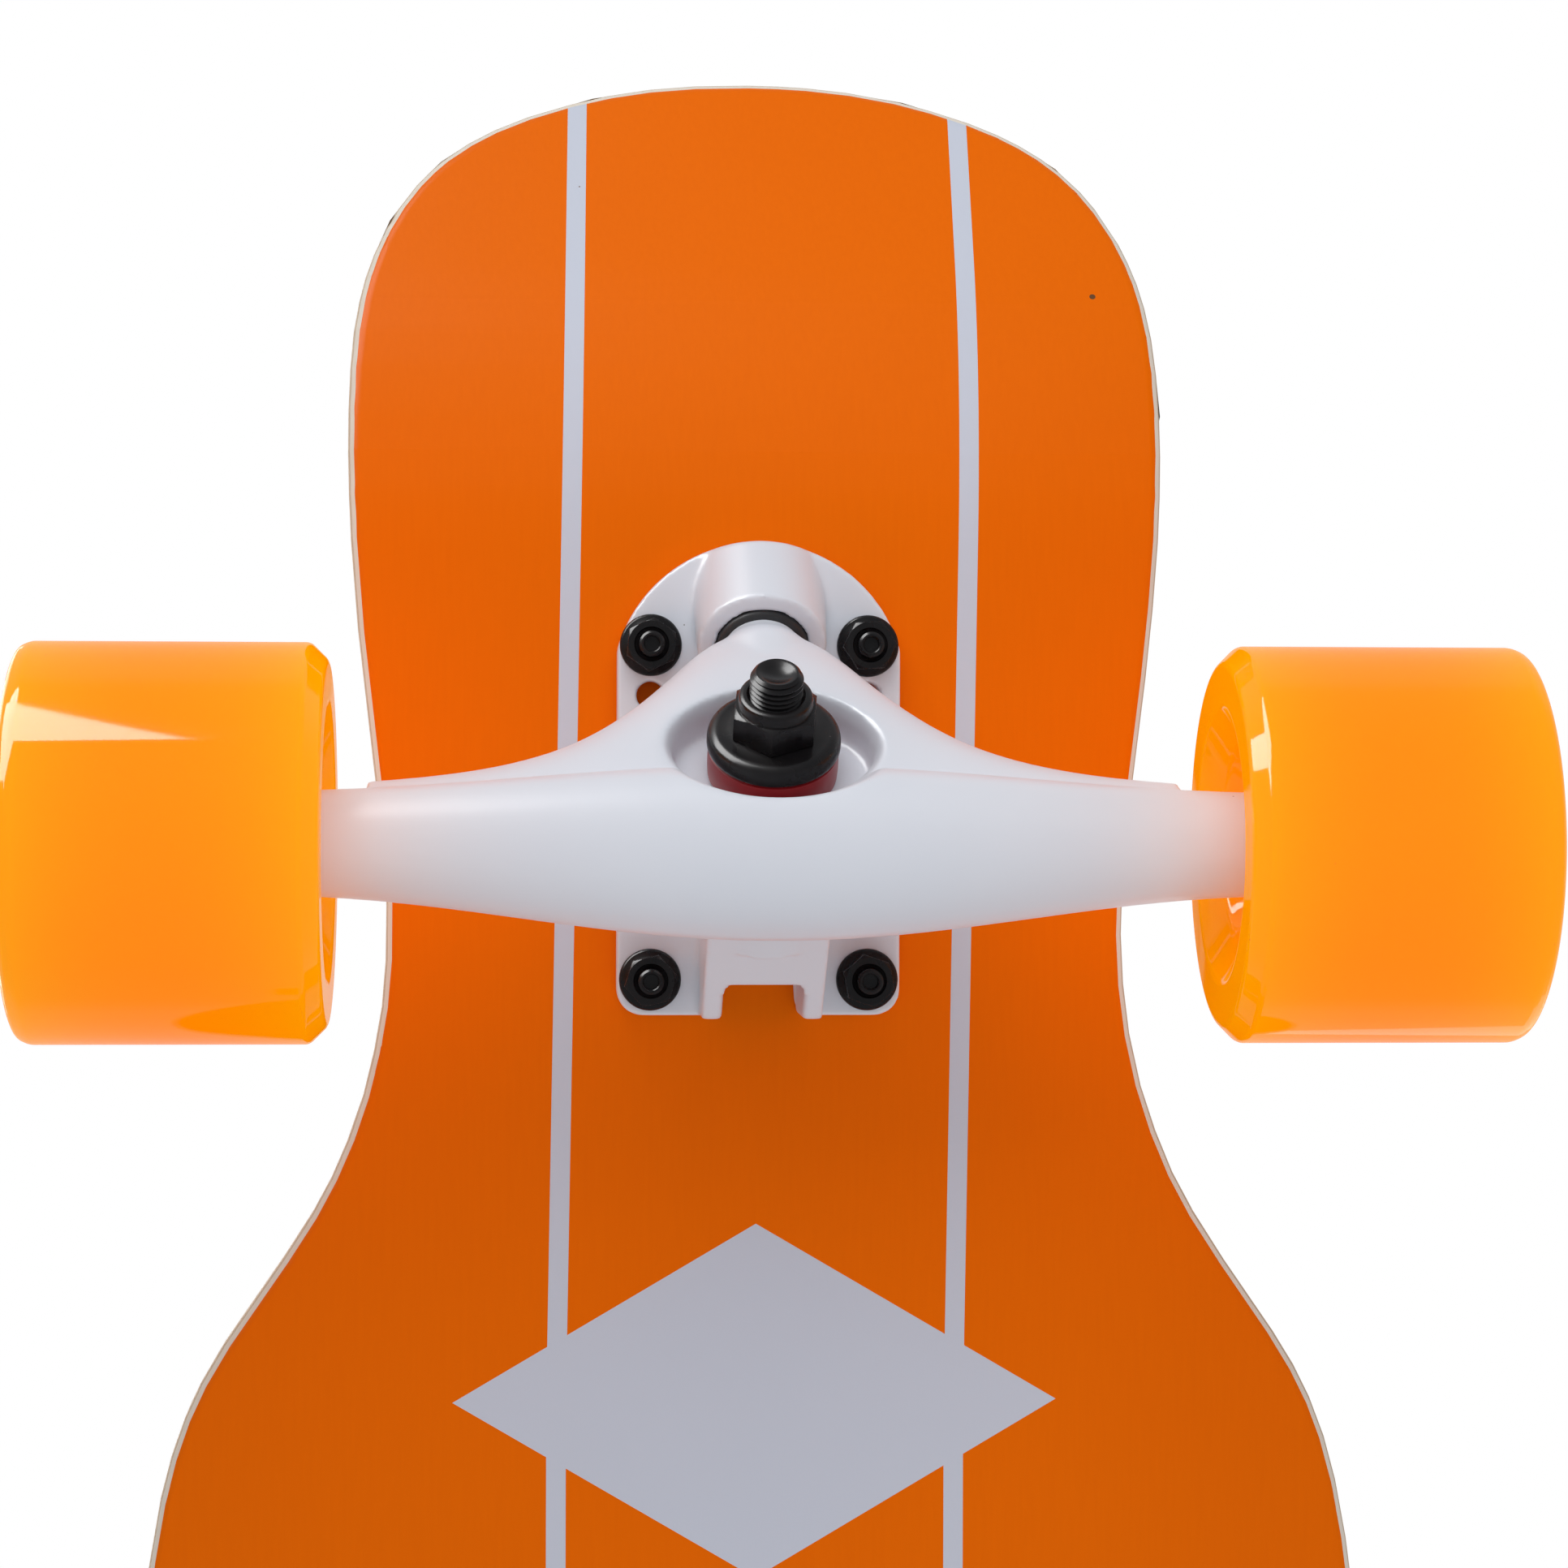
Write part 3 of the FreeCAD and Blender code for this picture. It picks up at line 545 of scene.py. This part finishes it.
def black_oxide_material():
    material, tree, shader = new_material("black_oxide_steel")
    marks = place_group(tree, specks_and_mottle, Speck_Scale=700.0, Speck_Size=0.10, Mottle_Scale=170.0)
    dark = colour_mix(tree, marks.outputs["Mottle"], (0.003, 0.003, 0.004), (0.012, 0.010, 0.010))
    tree.links.new(specked(tree, marks, 0.35, dark, (0.16, 0.13, 0.12)), shader.inputs["Base Color"])
    vary_roughness(tree, shader, marks.outputs["Mottle"], 0.22, 0.16)
    shader.inputs["Specular IOR Level"].default_value = 0.22
    bump(tree, shader, marks.outputs["Mottle"], 0.10, 0.0002)
    return material


black_oxide = black_oxide_material()


def truck_place(end):
    """Matrix from a truck's own frame (outboard, across, up from the deck) to the board's."""
    turn = 0 if end > 0 else math.pi
    return Matrix.Translation((end * bolt_x, 0, underside)) @ Matrix.Rotation(turn, 4, "Z")


def kingpin_place(end):
    """Matrix from the kingpin's own frame, Z down its length, to the board's."""
    return truck_place(end) @ Matrix.Translation(ring_place) @ Matrix.Rotation(kingpin_lean, 4, "Y")


def turned(profile, steps=72, closed=True):
    """A solid turned about Z from its (radius, height) corners; open profiles end on the axis."""
    shape = bmesh.new()
    corners = [shape.verts.new((radius, 0, height)) for radius, height in profile]
    pairs = list(zip(corners, corners[1:]))
    if closed:
        pairs.append((corners[-1], corners[0]))
    for first, second in pairs:
        shape.edges.new((first, second))
    bmesh.ops.spin(shape, geom=shape.verts[:] + shape.edges[:], cent=(0, 0, 0), axis=(0, 0, 1),
                   angle=2 * math.pi, steps=steps, use_merge=True)
    bmesh.ops.remove_doubles(shape, verts=shape.verts, dist=0.0005 * mm)
    bmesh.ops.recalc_face_normals(shape, faces=shape.faces)
    return shape


def hexed(shape, flats, low, high, within=1.0):
    """Draws the part of a turned shape between two heights in to a hexagon across flats."""
    for vert in shape.verts:
        radius = math.hypot(vert.co.x, vert.co.y)
        if low <= vert.co.z <= high and 1e-6 < radius <= within:
            angle = math.atan2(vert.co.y, vert.co.x)
            off_flat = (angle + math.pi / 6) % (math.pi / 3) - math.pi / 6
            limit = flats / 2 / math.cos(off_flat)
            if radius > limit:
                vert.co.x *= limit / radius
                vert.co.y *= limit / radius


def rounded(start, corner, end, steps=4):
    """Points of a curve that rounds a corner of a profile from start to end."""
    points = []
    for step in range(steps + 1):
        share = step / steps
        points.append(tuple((1 - share) ** 2 * a + 2 * share * (1 - share) * c + share ** 2 * b
                            for a, c, b in zip(start, corner, end)))
    return points


def thread(radius, depth, start, end, pitch):
    """Profile points of a thread's crests and roots along a rod."""
    points = []
    turns = int((end - start) / pitch)
    for turn in range(turns):
        foot = start + turn * pitch
        points += [(radius - depth, foot), (radius, foot + 0.42 * pitch), (radius, foot + 0.58 * pitch)]
    points.append((radius - depth, start + turns * pitch))
    return points


def joined(shapes, matrices):
    """One bmesh holding every shape under every matrix."""
    whole = bmesh.new()
    for shape in shapes:
        for matrix in matrices:
            copy = shape.copy()
            bmesh.ops.transform(copy, matrix=matrix, verts=copy.verts)
            data = bpy.data.meshes.new("copy")
            copy.to_mesh(data)
            copy.free()
            whole.from_mesh(data)
            bpy.data.meshes.remove(data)
        shape.free()
    return whole


def hex_cone(flats, low, high):
    """Profile points of a nut's outside whose corners are turned off towards its far end."""
    corner = flats / math.sqrt(3)
    drop = (corner - flats / 2) * 0.62
    points = [(flats / 2, low), (corner, low + 0.25 * drop), (corner, high - drop)]
    for step in range(1, 6):
        share = step / 5
        points.append((corner + (flats / 2 - corner) * share, high - drop + drop * share))
    return points


for end_name, end in ends:
    shank = kingpin_radius - 0.05 * mm
    rod = [(0, kingpin_head_end), (7.0 * mm, kingpin_head_end),
           (8.25 * mm, kingpin_head_end + 0.5 * mm), (8.25 * mm, kingpin_head_seat - 0.4 * mm),
           (7.15 * mm, kingpin_head_seat), (shank, kingpin_head_seat), (shank, washer_back)]
    rod += thread(kingpin_radius, 0.62 * mm, washer_back + 0.3 * mm, kingpin_end - 0.9 * mm, 1.06 * mm)
    rod += [(kingpin_radius - 0.45 * mm, kingpin_end - 0.5 * mm),
            (kingpin_radius - 1.0 * mm, kingpin_end),
            (kingpin_radius - 1.7 * mm, kingpin_end - 0.05 * mm),
            (kingpin_radius - 2.3 * mm, kingpin_end - 0.55 * mm), (0, kingpin_end - 0.9 * mm)]
    shape = turned(rod, closed=False)
    hexed(shape, kingpin_flats, kingpin_head_end - 0.2 * mm, kingpin_head_seat + 0.01 * mm)
    bmesh.ops.transform(shape, matrix=kingpin_place(end), verts=shape.verts)
    finish_piece(shape, end_name + "_kingpin_bolt", "root", end_name + "_kingpin",
                 black_oxide, sharp=40)

    shoulder = washer_back + lock_nut_shoulder
    top = washer_back + lock_nut_height
    collar = kingpin_flats / 2 - 0.5 * mm
    nut = [(kingpin_radius + 0.02 * mm, washer_back)]
    nut += hex_cone(kingpin_flats, washer_back, shoulder)
    nut += [(collar + 0.1 * mm, shoulder + 0.05 * mm), (collar, shoulder + 0.3 * mm)]
    nut += rounded((collar, top - 1.0 * mm), (collar, top), (collar - 1.0 * mm, top))
    nut += [(kingpin_radius + 0.5 * mm, top), (kingpin_radius + 0.02 * mm, top - 0.4 * mm)]
    shape = turned(nut)
    hexed(shape, kingpin_flats, washer_back - mm, shoulder)
    bmesh.ops.transform(shape, matrix=kingpin_place(end) @ Matrix.Rotation(math.radians(24), 4, "Z"),
                        verts=shape.verts)
    finish_piece(shape, end_name + "_kingpin_lock_nut", "root", end_name + "_kingpin_nut",
                 black_oxide, sharp=24)

    floor_height = washer_back - 1.6 * mm
    rim = floor_height - 2.4 * mm
    cup = 10.55 * mm
    outer = 12.0 * mm
    dish = [(kingpin_radius + 0.02 * mm, floor_height), (cup, floor_height), (cup, rim + 0.2 * mm),
            (cup + 0.2 * mm, rim)]
    dish += rounded((outer - 0.8 * mm, rim), (outer, rim), (outer, rim + 0.9 * mm))
    dish += rounded((outer, rim + 1.6 * mm), (outer, washer_back - 0.1 * mm),
                    (outer - 2.1 * mm, washer_back - 0.1 * mm), 7)
    dish += [(outer - 3.2 * mm, washer_back - 0.25 * mm), (outer - 3.9 * mm, washer_back - 0.05 * mm),
             (kingpin_radius + 0.02 * mm, washer_back - 0.02 * mm)]
    shape = turned(dish, steps=96)
    bmesh.ops.transform(shape, matrix=kingpin_place(end), verts=shape.verts)
    finish_piece(shape, end_name + "_cup_washer", "root", end_name + "_roadside_washer",
                 black_oxide, sharp=50)

    low = -18.75 * mm
    high = -17.35 * mm
    flat = [(kingpin_radius + 0.02 * mm, low), (11.7 * mm, low), (12.0 * mm, low + 0.3 * mm),
            (12.0 * mm, high - 0.3 * mm), (11.7 * mm, high), (kingpin_radius + 0.02 * mm, high)]
    shape = turned(flat, steps=96)
    bmesh.ops.transform(shape, matrix=kingpin_place(end), verts=shape.verts)
    finish_piece(shape, end_name + "_seat_washer", "root", end_name + "_boardside_washer",
                 black_oxide)

    bolt_end = plate_face - 9.8 * mm
    bolt_radius = 2.4 * mm
    head_face = 11.7 * mm
    rod = [(0, bolt_end + 1.9 * mm), (1.35 * mm, bolt_end + 1.8 * mm), (1.45 * mm, bolt_end + 0.2 * mm),
           (1.65 * mm, bolt_end), (2.0 * mm, bolt_end), (bolt_radius, bolt_end + 0.35 * mm)]
    rod += thread(bolt_radius, 0.28 * mm, bolt_end + 0.5 * mm, plate_face, 0.8 * mm)
    rod += [(bolt_radius - 0.05 * mm, 9.1 * mm), (4.45 * mm, head_face - 0.25 * mm),
            (4.35 * mm, head_face), (1.95 * mm, head_face), (1.85 * mm, head_face - 0.12 * mm),
            (1.85 * mm, head_face - 1.9 * mm), (1.0 * mm, head_face - 2.0 * mm),
            (0, head_face - 2.3 * mm)]
    shape = turned(rod, steps=48, closed=False)
    hexed(shape, 3.2 * mm, head_face - 2.05 * mm, head_face + mm, within=2.0 * mm)
    bolts = joined([shape], [truck_place(end) @ Matrix.Translation((x, y, 0)) for x, y in bolt_spots])
    finish_piece(bolts, end_name + "_deck_bolts", "root", end_name + "_mounting_bolts",
                 black_oxide, sharp=40)

    nut_flats = 8.8 * mm
    flange = 5.9 * mm
    far = 6.4 * mm
    nut = [(bolt_radius + 0.02 * mm, 0.05 * mm), (flange - 0.4 * mm, 0.02 * mm)]
    nut += rounded((flange, 0.3 * mm), (flange, 1.2 * mm), (flange - 0.7 * mm, 1.3 * mm))
    nut += [(nut_flats / 2 + 0.2 * mm, 1.5 * mm)]
    nut += hex_cone(nut_flats, 1.6 * mm, far)
    nut += [(3.3 * mm, far), (3.1 * mm, far - 0.35 * mm), (bolt_radius + 0.02 * mm, far - 0.6 * mm)]
    shape = turned(nut)
    hexed(shape, nut_flats, 1.55 * mm, far)
    down = Matrix.Rotation(math.pi, 4, "X")
    places = []
    for spot, (x, y) in enumerate(bolt_spots):
        twist = Matrix.Rotation(math.radians(nut_turns[spot]), 4, "Z")
        places.append(truck_place(end) @ Matrix.Translation((x, y, plate_face)) @ down @ twist)
    finish_piece(joined([shape], places), end_name + "_flange_nuts", "root", end_name + "_mounting_nuts",
                 black_oxide, sharp=24)

# ---- Bushings ----------------------------------------------------------------------
# Dark red cast urethane, a barrel above the hanger's ring and one below. They sit between its
# ring and the washers of the kingpin.


def bushing_material():
    material, tree, shader = new_material("red_bushing_urethane")
    marks = place_group(tree, specks_and_mottle, Speck_Scale=400.0, Speck_Size=0.06, Mottle_Scale=70.0)
    red = colour_mix(tree, marks.outputs["Mottle"], (0.26, 0.006, 0.010), (0.34, 0.012, 0.016))
    tree.links.new(specked(tree, marks, 0.3, red, (0.10, 0.02, 0.02)), shader.inputs["Base Color"])
    vary_roughness(tree, shader, marks.outputs["Mottle"], 0.15, 0.30)
    shader.inputs["Subsurface Weight"].default_value = 0.2
    shader.inputs["Subsurface Radius"].default_value = (1.0, 0.1, 0.1)
    shader.inputs["Subsurface Scale"].default_value = 0.003
    bump(tree, shader, marks.outputs["Mottle"], 0.06, 0.0003)
    return material


red_urethane = bushing_material()
bushing_radius = 11.8 * mm
bushing_bulge = 0.12 * mm
ring_face = 2.62 * mm
bushings = (("roadside", ring_face, 11.48 * mm, 10.45 * mm, 2.4 * mm, 2.6 * mm, 10.1 * mm),
            ("boardside", -17.28 * mm, -ring_face, 11.2 * mm, 0.5 * mm, -2.6 * mm, -17.0 * mm))


def barrel(bottom, top, cup_radius, cup_height):
    """Profile of a bushing whose top end narrows to sit in a cupped washer."""
    bore = 5.12 * mm
    body_top = top - cup_height
    points = [(bore, bottom), (bushing_radius - 0.7 * mm, bottom)]
    for step in range(9):
        share = step / 8
        height = bottom + 0.6 * mm + (body_top - 0.4 * mm - bottom - 0.6 * mm) * share
        swell = bushing_bulge * math.sin(math.pi * share)
        points.append((bushing_radius - 0.15 * mm + swell, height))
    points += [(cup_radius, body_top), (cup_radius, top), (bore, top)]
    for step in range(1, 6):
        points.append((bore, top + (bottom - top) * step / 6))
    return points


for end_name, end in ends:
    for name, bottom, top, cup_radius, cup_height, near, far in bushings:
        shape = turned(barrel(bottom, top, cup_radius, cup_height), steps=96)
        place = kingpin_place(end)
        bmesh.ops.transform(shape, matrix=place, verts=shape.verts)
        piece = finish_piece(shape, end_name + "_" + name + "_bushing_urethane", None,
                             end_name + "_" + name + "_bushing", red_urethane)
        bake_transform(piece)

# ---- Pivot cups ----------------------------------------------------------------------
# Black urethane cups pressed into the baseplate's boss; the hanger's stem turns in them.

pivot_lean = math.radians(40)
cup_bore = 6.68 * mm
cup_wall = 8.68 * mm
cup_mouth = 39.2 * mm
cup_floor = 49.1 * mm
cup_end = 51.58 * mm


def cup_material():
    material, tree, shader = new_material("black_cup_urethane")
    marks = place_group(tree, specks_and_mottle, Speck_Scale=500.0, Speck_Size=0.10, Mottle_Scale=90.0)
    black = colour_mix(tree, marks.outputs["Mottle"], (0.008, 0.008, 0.009), (0.022, 0.022, 0.024))
    tree.links.new(specked(tree, marks, 0.4, black, (0.09, 0.09, 0.09)), shader.inputs["Base Color"])
    shader.inputs["Roughness"].default_value = 0.5
    bump(tree, shader, marks.outputs["Mottle"], 0.10, 0.0002)
    return material


cup_black = cup_material()
for end_name, end in ends:
    profile = [(cup_bore, cup_mouth + 0.3 * mm)]
    profile += rounded((cup_bore + 0.3 * mm, cup_mouth), (cup_wall, cup_mouth),
                       (cup_wall, cup_mouth + 1.0 * mm), 5)
    profile += [(cup_wall, cup_end - 0.28 * mm), (cup_wall - 0.3 * mm, cup_end), (0, cup_end)]
    inside = [(0, cup_floor), (4.0 * mm, cup_floor), (cup_bore, cup_floor - 3.0 * mm)]
    shape = turned(profile + inside, steps=96)
    place = truck_place(end) @ Matrix.Translation(ring_place) @ Matrix.Rotation(pivot_lean, 4, "Y")
    bmesh.ops.transform(shape, matrix=place, verts=shape.verts)
    finish_piece(shape, end_name + "_pivot_cup_urethane", "root", end_name + "_pivot_cup",
                 cup_black, sharp=50)

# ---- Axles, axle nuts and bearings ---------------------------------------------------
# Bright steel: the rod cast into the hanger with threaded ends, its lock nuts, the thin
# speed washers and spacers, and two shielded ball bearings in every wheel.


def steel_material(name, light, dark, rough_low, rough_high, brushed):
    """Bare steel whose tone and roughness vary along fine turned lines."""
    material, tree, shader = new_material(name)
    marks = place_group(tree, specks_and_mottle, Speck_Scale=600.0, Speck_Size=0.08, Mottle_Scale=120.0)
    place = tree.nodes.new("ShaderNodeTexCoord")
    squeeze = tree.nodes.new("ShaderNodeMapping")
    squeeze.inputs["Scale"].default_value = (30, brushed, 30)
    tree.links.new(place.outputs["Object"], squeeze.inputs["Vector"])
    lines = tree.nodes.new("ShaderNodeTexNoise")
    lines.inputs["Scale"].default_value = 12.0
    tree.links.new(squeeze.outputs["Vector"], lines.inputs["Vector"])
    tone = colour_mix(tree, lines.outputs["Fac"], light, dark)
    tree.links.new(specked(tree, marks, 0.4, tone, (0.12, 0.11, 0.10)), shader.inputs["Base Color"])
    vary_roughness(tree, shader, lines.outputs["Fac"], rough_high - rough_low, rough_low)
    shader.inputs["Metallic"].default_value = 1.0
    bump(tree, shader, lines.outputs["Fac"], 0.08, 0.0001)
    return material


bare_steel = steel_material("bare_steel", (0.66, 0.65, 0.63), (0.50, 0.50, 0.49), 0.18, 0.42, 900)
bearing_steel = steel_material("bearing_steel", (0.78, 0.78, 0.78), (0.64, 0.64, 0.65), 0.08, 0.22, 1400)
shield_steel = steel_material("shield_steel", (0.60, 0.60, 0.61), (0.44, 0.44, 0.45), 0.25, 0.45, 700)


def cage_material():
    material, tree, shader = new_material("cage_nylon")
    marks = place_group(tree, specks_and_mottle, Speck_Scale=800.0, Speck_Size=0.1, Mottle_Scale=200.0)
    tree.links.new(colour_mix(tree, marks.outputs["Mottle"], (0.62, 0.57, 0.44), (0.70, 0.66, 0.54)),
                   shader.inputs["Base Color"])
    vary_roughness(tree, shader, marks.outputs["Mottle"], 0.2, 0.35)
    bump(tree, shader, marks.outputs["Grain"], 0.1, 0.0001)
    return material


nylon = cage_material()
axle_radius = 4.0 * mm
axle_thread_start = 114.0 * mm
axle_nut_face = 116.0 * mm
axle_nut_flats = 12.7 * mm
bearing_faces = (91 * mm, 108 * mm)
bearing_width = 7.0 * mm
sides = (("left", 1), ("right", -1))


def axle_place(end, side):
    """Matrix from a frame with Z out along the axle, from its middle, to the board's."""
    turn = Matrix.Rotation(math.radians(-90 * side), 4, "X")
    return Matrix.Translation((end * axle_x, 0, axle_z)) @ turn


def race_profile(seat, ease, shoulder, way):
    """Section of a bearing ring from its seat towards the balls, which lie out or in by way."""
    return [(seat, 0.3 * mm), (seat, 6.7 * mm), (seat + way * ease, bearing_width),
            (shoulder - way * 0.05 * mm, bearing_width), (shoulder, 6.9 * mm), (shoulder, 4.6 * mm),
            (shoulder - way * 0.15 * mm, 3.5 * mm), (shoulder, 2.4 * mm), (shoulder, 0.1 * mm),
            (shoulder - way * 0.05 * mm, 0), (seat + way * ease, 0)]


for end_name, end in ends:
    both = [axle_place(end, side) for side_name, side in sides]
    rod = [(0, 0), (axle_radius, 0), (axle_radius, axle_thread_start)]
    rod += thread(axle_radius, 0.45 * mm, 114.2 * mm, 123.8 * mm, 1.0 * mm)
    rod += [(3.3 * mm, 124.55 * mm), (0, 124.58 * mm)]
    halves = joined([turned(rod, closed=False)], both)
    bmesh.ops.remove_doubles(halves, verts=halves.verts, dist=0.005 * mm)
    finish_piece(halves, end_name + "_axle_rod", end_name + "_hanger_body", end_name + "_axle",
                 bare_steel, sharp=40)

    collar = 5.75 * mm
    nut = [(axle_radius + 0.02 * mm, 0.02 * mm)] + hex_cone(axle_nut_flats, 0.02 * mm, 6.0 * mm)
    nut += [(collar + 0.1 * mm, 6.05 * mm), (collar, 6.3 * mm)]
    nut += rounded((collar, 7.2 * mm), (collar, 7.95 * mm), (collar - 0.8 * mm, 7.95 * mm))
    nut += [(axle_radius + 0.6 * mm, 7.95 * mm), (axle_radius + 0.02 * mm, 7.5 * mm)]
    shape = turned(nut)
    hexed(shape, axle_nut_flats, 0, 6.0 * mm)
    places = [matrix @ Matrix.Translation((0, 0, axle_nut_face)) for matrix in both]
    finish_piece(joined([shape], places), end_name + "_axle_lock_nuts", end_name + "_hanger_body",
                 end_name + "_axle_nuts", bare_steel, sharp=24)

    for side_name, side in sides:
        corner = end_name + "_" + side_name
        places = [axle_place(end, side) @ Matrix.Translation((0, 0, face)) for face in bearing_faces]
        races = (("outer", corner + "_wheel_body", race_profile(11.0 * mm, 0.3 * mm, 9.25 * mm, -1)),
                 ("inner", end_name + "_hanger_body", race_profile(4.0 * mm, 0.2 * mm, 5.75 * mm, 1)))
        for name, body, section in races:
            finish_piece(joined([turned(section, steps=96)], places),
                         corner + "_bearing_" + name + "_races", body,
                         corner + "_bearing_" + name + "_rings", bearing_steel,
                         sharp=30)
        plate = []
        for turn_over in (False, True):
            section = [(6.22 * mm, 0.30 * mm), (6.9 * mm, 0.27 * mm), (7.2 * mm, 0.40 * mm),
                       (8.2 * mm, 0.40 * mm), (8.5 * mm, 0.26 * mm), (9.2 * mm, 0.26 * mm),
                       (9.2 * mm, 0.53 * mm), (6.22 * mm, 0.53 * mm)]
            if turn_over:
                section = [(radius, bearing_width - height) for radius, height in section]
            plate.append(turned(section, steps=96))
        finish_piece(joined(plate, places), corner + "_bearing_dust_shields", corner + "_wheel_body",
                     corner + "_bearing_shields", shield_steel, sharp=20)
        finish_node(corner + "_bearing_balls", bearing_steel)
        finish_node(corner + "_bearing_cages", nylon)
    finish_node(end_name + "_speed_washers", bare_steel)
    finish_node(end_name + "_bearing_spacers", bare_steel)

# ---- Wheels ------------------------------------------------------------------------
# Clear orange urethane poured round its own core: wide flat tread, sharp inner lip with a
# small chamfer, dished faces and a bearing seat in the middle of each. Its shading adds a
# faint painted glow, and a painted sheen that turns it yellower towards both faces.

wheel_low, wheel_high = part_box("front_left_wheel")
wheel_radius = (wheel_high.z - wheel_low.z) / 2
wheel_face_in = wheel_low.y
wheel_face_out = wheel_high.y
wheel_steps = 128
dish_radius = 24.5 * mm
hub_radius = 13.5 * mm


def urethane_material():
    material, tree, shader = new_material("orange_urethane_painted_glow_and_sheen")
    place = tree.nodes.new("ShaderNodeTexCoord")
    split = tree.nodes.new("ShaderNodeSeparateXYZ")
    tree.links.new(place.outputs["Object"], split.inputs["Vector"])
    # Painted sheen: a share that grows towards both side faces lightens and yellows the urethane there.
    across = math_node(tree, "ABSOLUTE", split.outputs["Y"])
    middle = (wheel_face_in + wheel_face_out) / 2
    off = math_node(tree, "ABSOLUTE", math_node(tree, "SUBTRACT", across, middle))
    rim_share = math_node(tree, "DIVIDE", off, (wheel_face_out - wheel_face_in) / 2)
    painted_rim_sheen = math_node(tree, "POWER", rim_share, 2.2, clamp=True)
    marks = place_group(tree, specks_and_mottle, Speck_Scale=240.0, Speck_Size=0.05, Mottle_Scale=18.0)
    core = colour_mix(tree, marks.outputs["Mottle"], (0.95, 0.225, 0.0), (1.0, 0.255, 0.0))
    # The yellower colour here is the painted sheen on the rims.
    tint = colour_mix(tree, painted_rim_sheen, core, (0.95, 0.33, 0.0))
    tint = specked(tree, marks, 0.5, tint, (0.55, 0.16, 0.02))
    tree.links.new(tint, shader.inputs["Base Color"])
    vary_roughness(tree, shader, marks.outputs["Mottle"], 0.06, 0.10)
    # Painted light: the wheel's own colour is also given out as a faint glow, so the wheels stay bright
    # even on their shaded side.
    tree.links.new(tint, shader.inputs["Emission Color"])
    shader.inputs["Emission Strength"].default_value = 0.42
    shader.inputs["Specular IOR Level"].default_value = 0.0
    shader.inputs["Subsurface Weight"].default_value = 0.25
    shader.inputs["Subsurface Radius"].default_value = (1.0, 0.45, 0.08)
    shader.inputs["Subsurface Scale"].default_value = 0.008
    shader.inputs["Coat Weight"].default_value = 0.45
    shader.inputs["Coat Roughness"].default_value = 0.05
    shader.inputs["Coat Tint"].default_value = (1.0, 0.93, 0.72, 1.0)
    bump(tree, shader, marks.outputs["Mottle"], 0.03, 0.0004)
    return material


urethane = urethane_material()


def spun(profile, turn_steps):
    """A ring turned about the Y axis from (radius, y) corners, closed on itself."""
    shape = bmesh.new()
    corners = [shape.verts.new((0, y, radius)) for radius, y in profile]
    for first, second in zip(corners, corners[1:] + corners[:1]):
        shape.edges.new((first, second))
    bmesh.ops.spin(shape, geom=shape.verts[:] + shape.edges[:], cent=(0, 0, 0), axis=(0, 1, 0),
                   angle=2 * math.pi, steps=turn_steps, use_merge=True)
    bmesh.ops.remove_doubles(shape, verts=shape.verts, dist=0.001 * mm)
    bmesh.ops.recalc_face_normals(shape, faces=shape.faces)
    return shape


def wheel_profile():
    """Corners of the wheel's section, from its inner face outwards, for the left side."""
    rings_low, rings_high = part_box("front_left_bearing_outer_rings")
    inner_bearing = rings_low.y
    outer_bearing = rings_high.y
    seat = 11.0 * mm
    lip = 9.6 * mm
    ring = bearing_width
    chamfer = 3.1 * mm
    tread = wheel_radius
    return [(dish_radius, wheel_face_in), (tread - chamfer, wheel_face_in),
            (tread, wheel_face_in + chamfer), (tread, wheel_face_out - 2.6 * mm),
            (tread - 0.8 * mm, wheel_face_out - 0.8 * mm), (tread - 2.6 * mm, wheel_face_out),
            (dish_radius, wheel_face_out), (22.5 * mm, wheel_face_out - 2.0 * mm),
            (18.5 * mm, wheel_face_out - 5.5 * mm), (17.5 * mm, wheel_face_out - 7.5 * mm),
            (hub_radius, outer_bearing + 2.0 * mm), (seat, outer_bearing + 1.0 * mm),
            (seat, outer_bearing - ring), (lip, outer_bearing - ring),
            (lip, inner_bearing + ring), (seat, inner_bearing + ring),
            (seat, inner_bearing - 1.0 * mm), (hub_radius, inner_bearing - 2.0 * mm),
            (17.5 * mm, wheel_face_in + 5.6 * mm), (18.5 * mm, wheel_face_in + 4.0 * mm),
            (22.5 * mm, wheel_face_in + 1.6 * mm)]


for end_name, end in ends:
    for side_name, side in sides:
        corner = end_name + "_" + side_name
        shape = spun(wheel_profile(), wheel_steps)
        if side < 0:
            bmesh.ops.scale(shape, vec=(1, -1, 1), verts=shape.verts)
            bmesh.ops.recalc_face_normals(shape, faces=shape.faces)
        bmesh.ops.translate(shape, verts=shape.verts, vec=(end * axle_x, 0, axle_z))
        wheel = finish_piece(shape, corner + "_urethane_wheel", corner + "_wheel_body",
                             corner + "_wheel", urethane, sharp=180)
        bevel = wheel.modifiers.new("poured_edges", "BEVEL")
        bevel.width = 0.7 * mm
        bevel.segments = 4
        bevel.limit_method = "ANGLE"
        bevel.angle_limit = math.radians(15)
        bevel.harden_normals = True
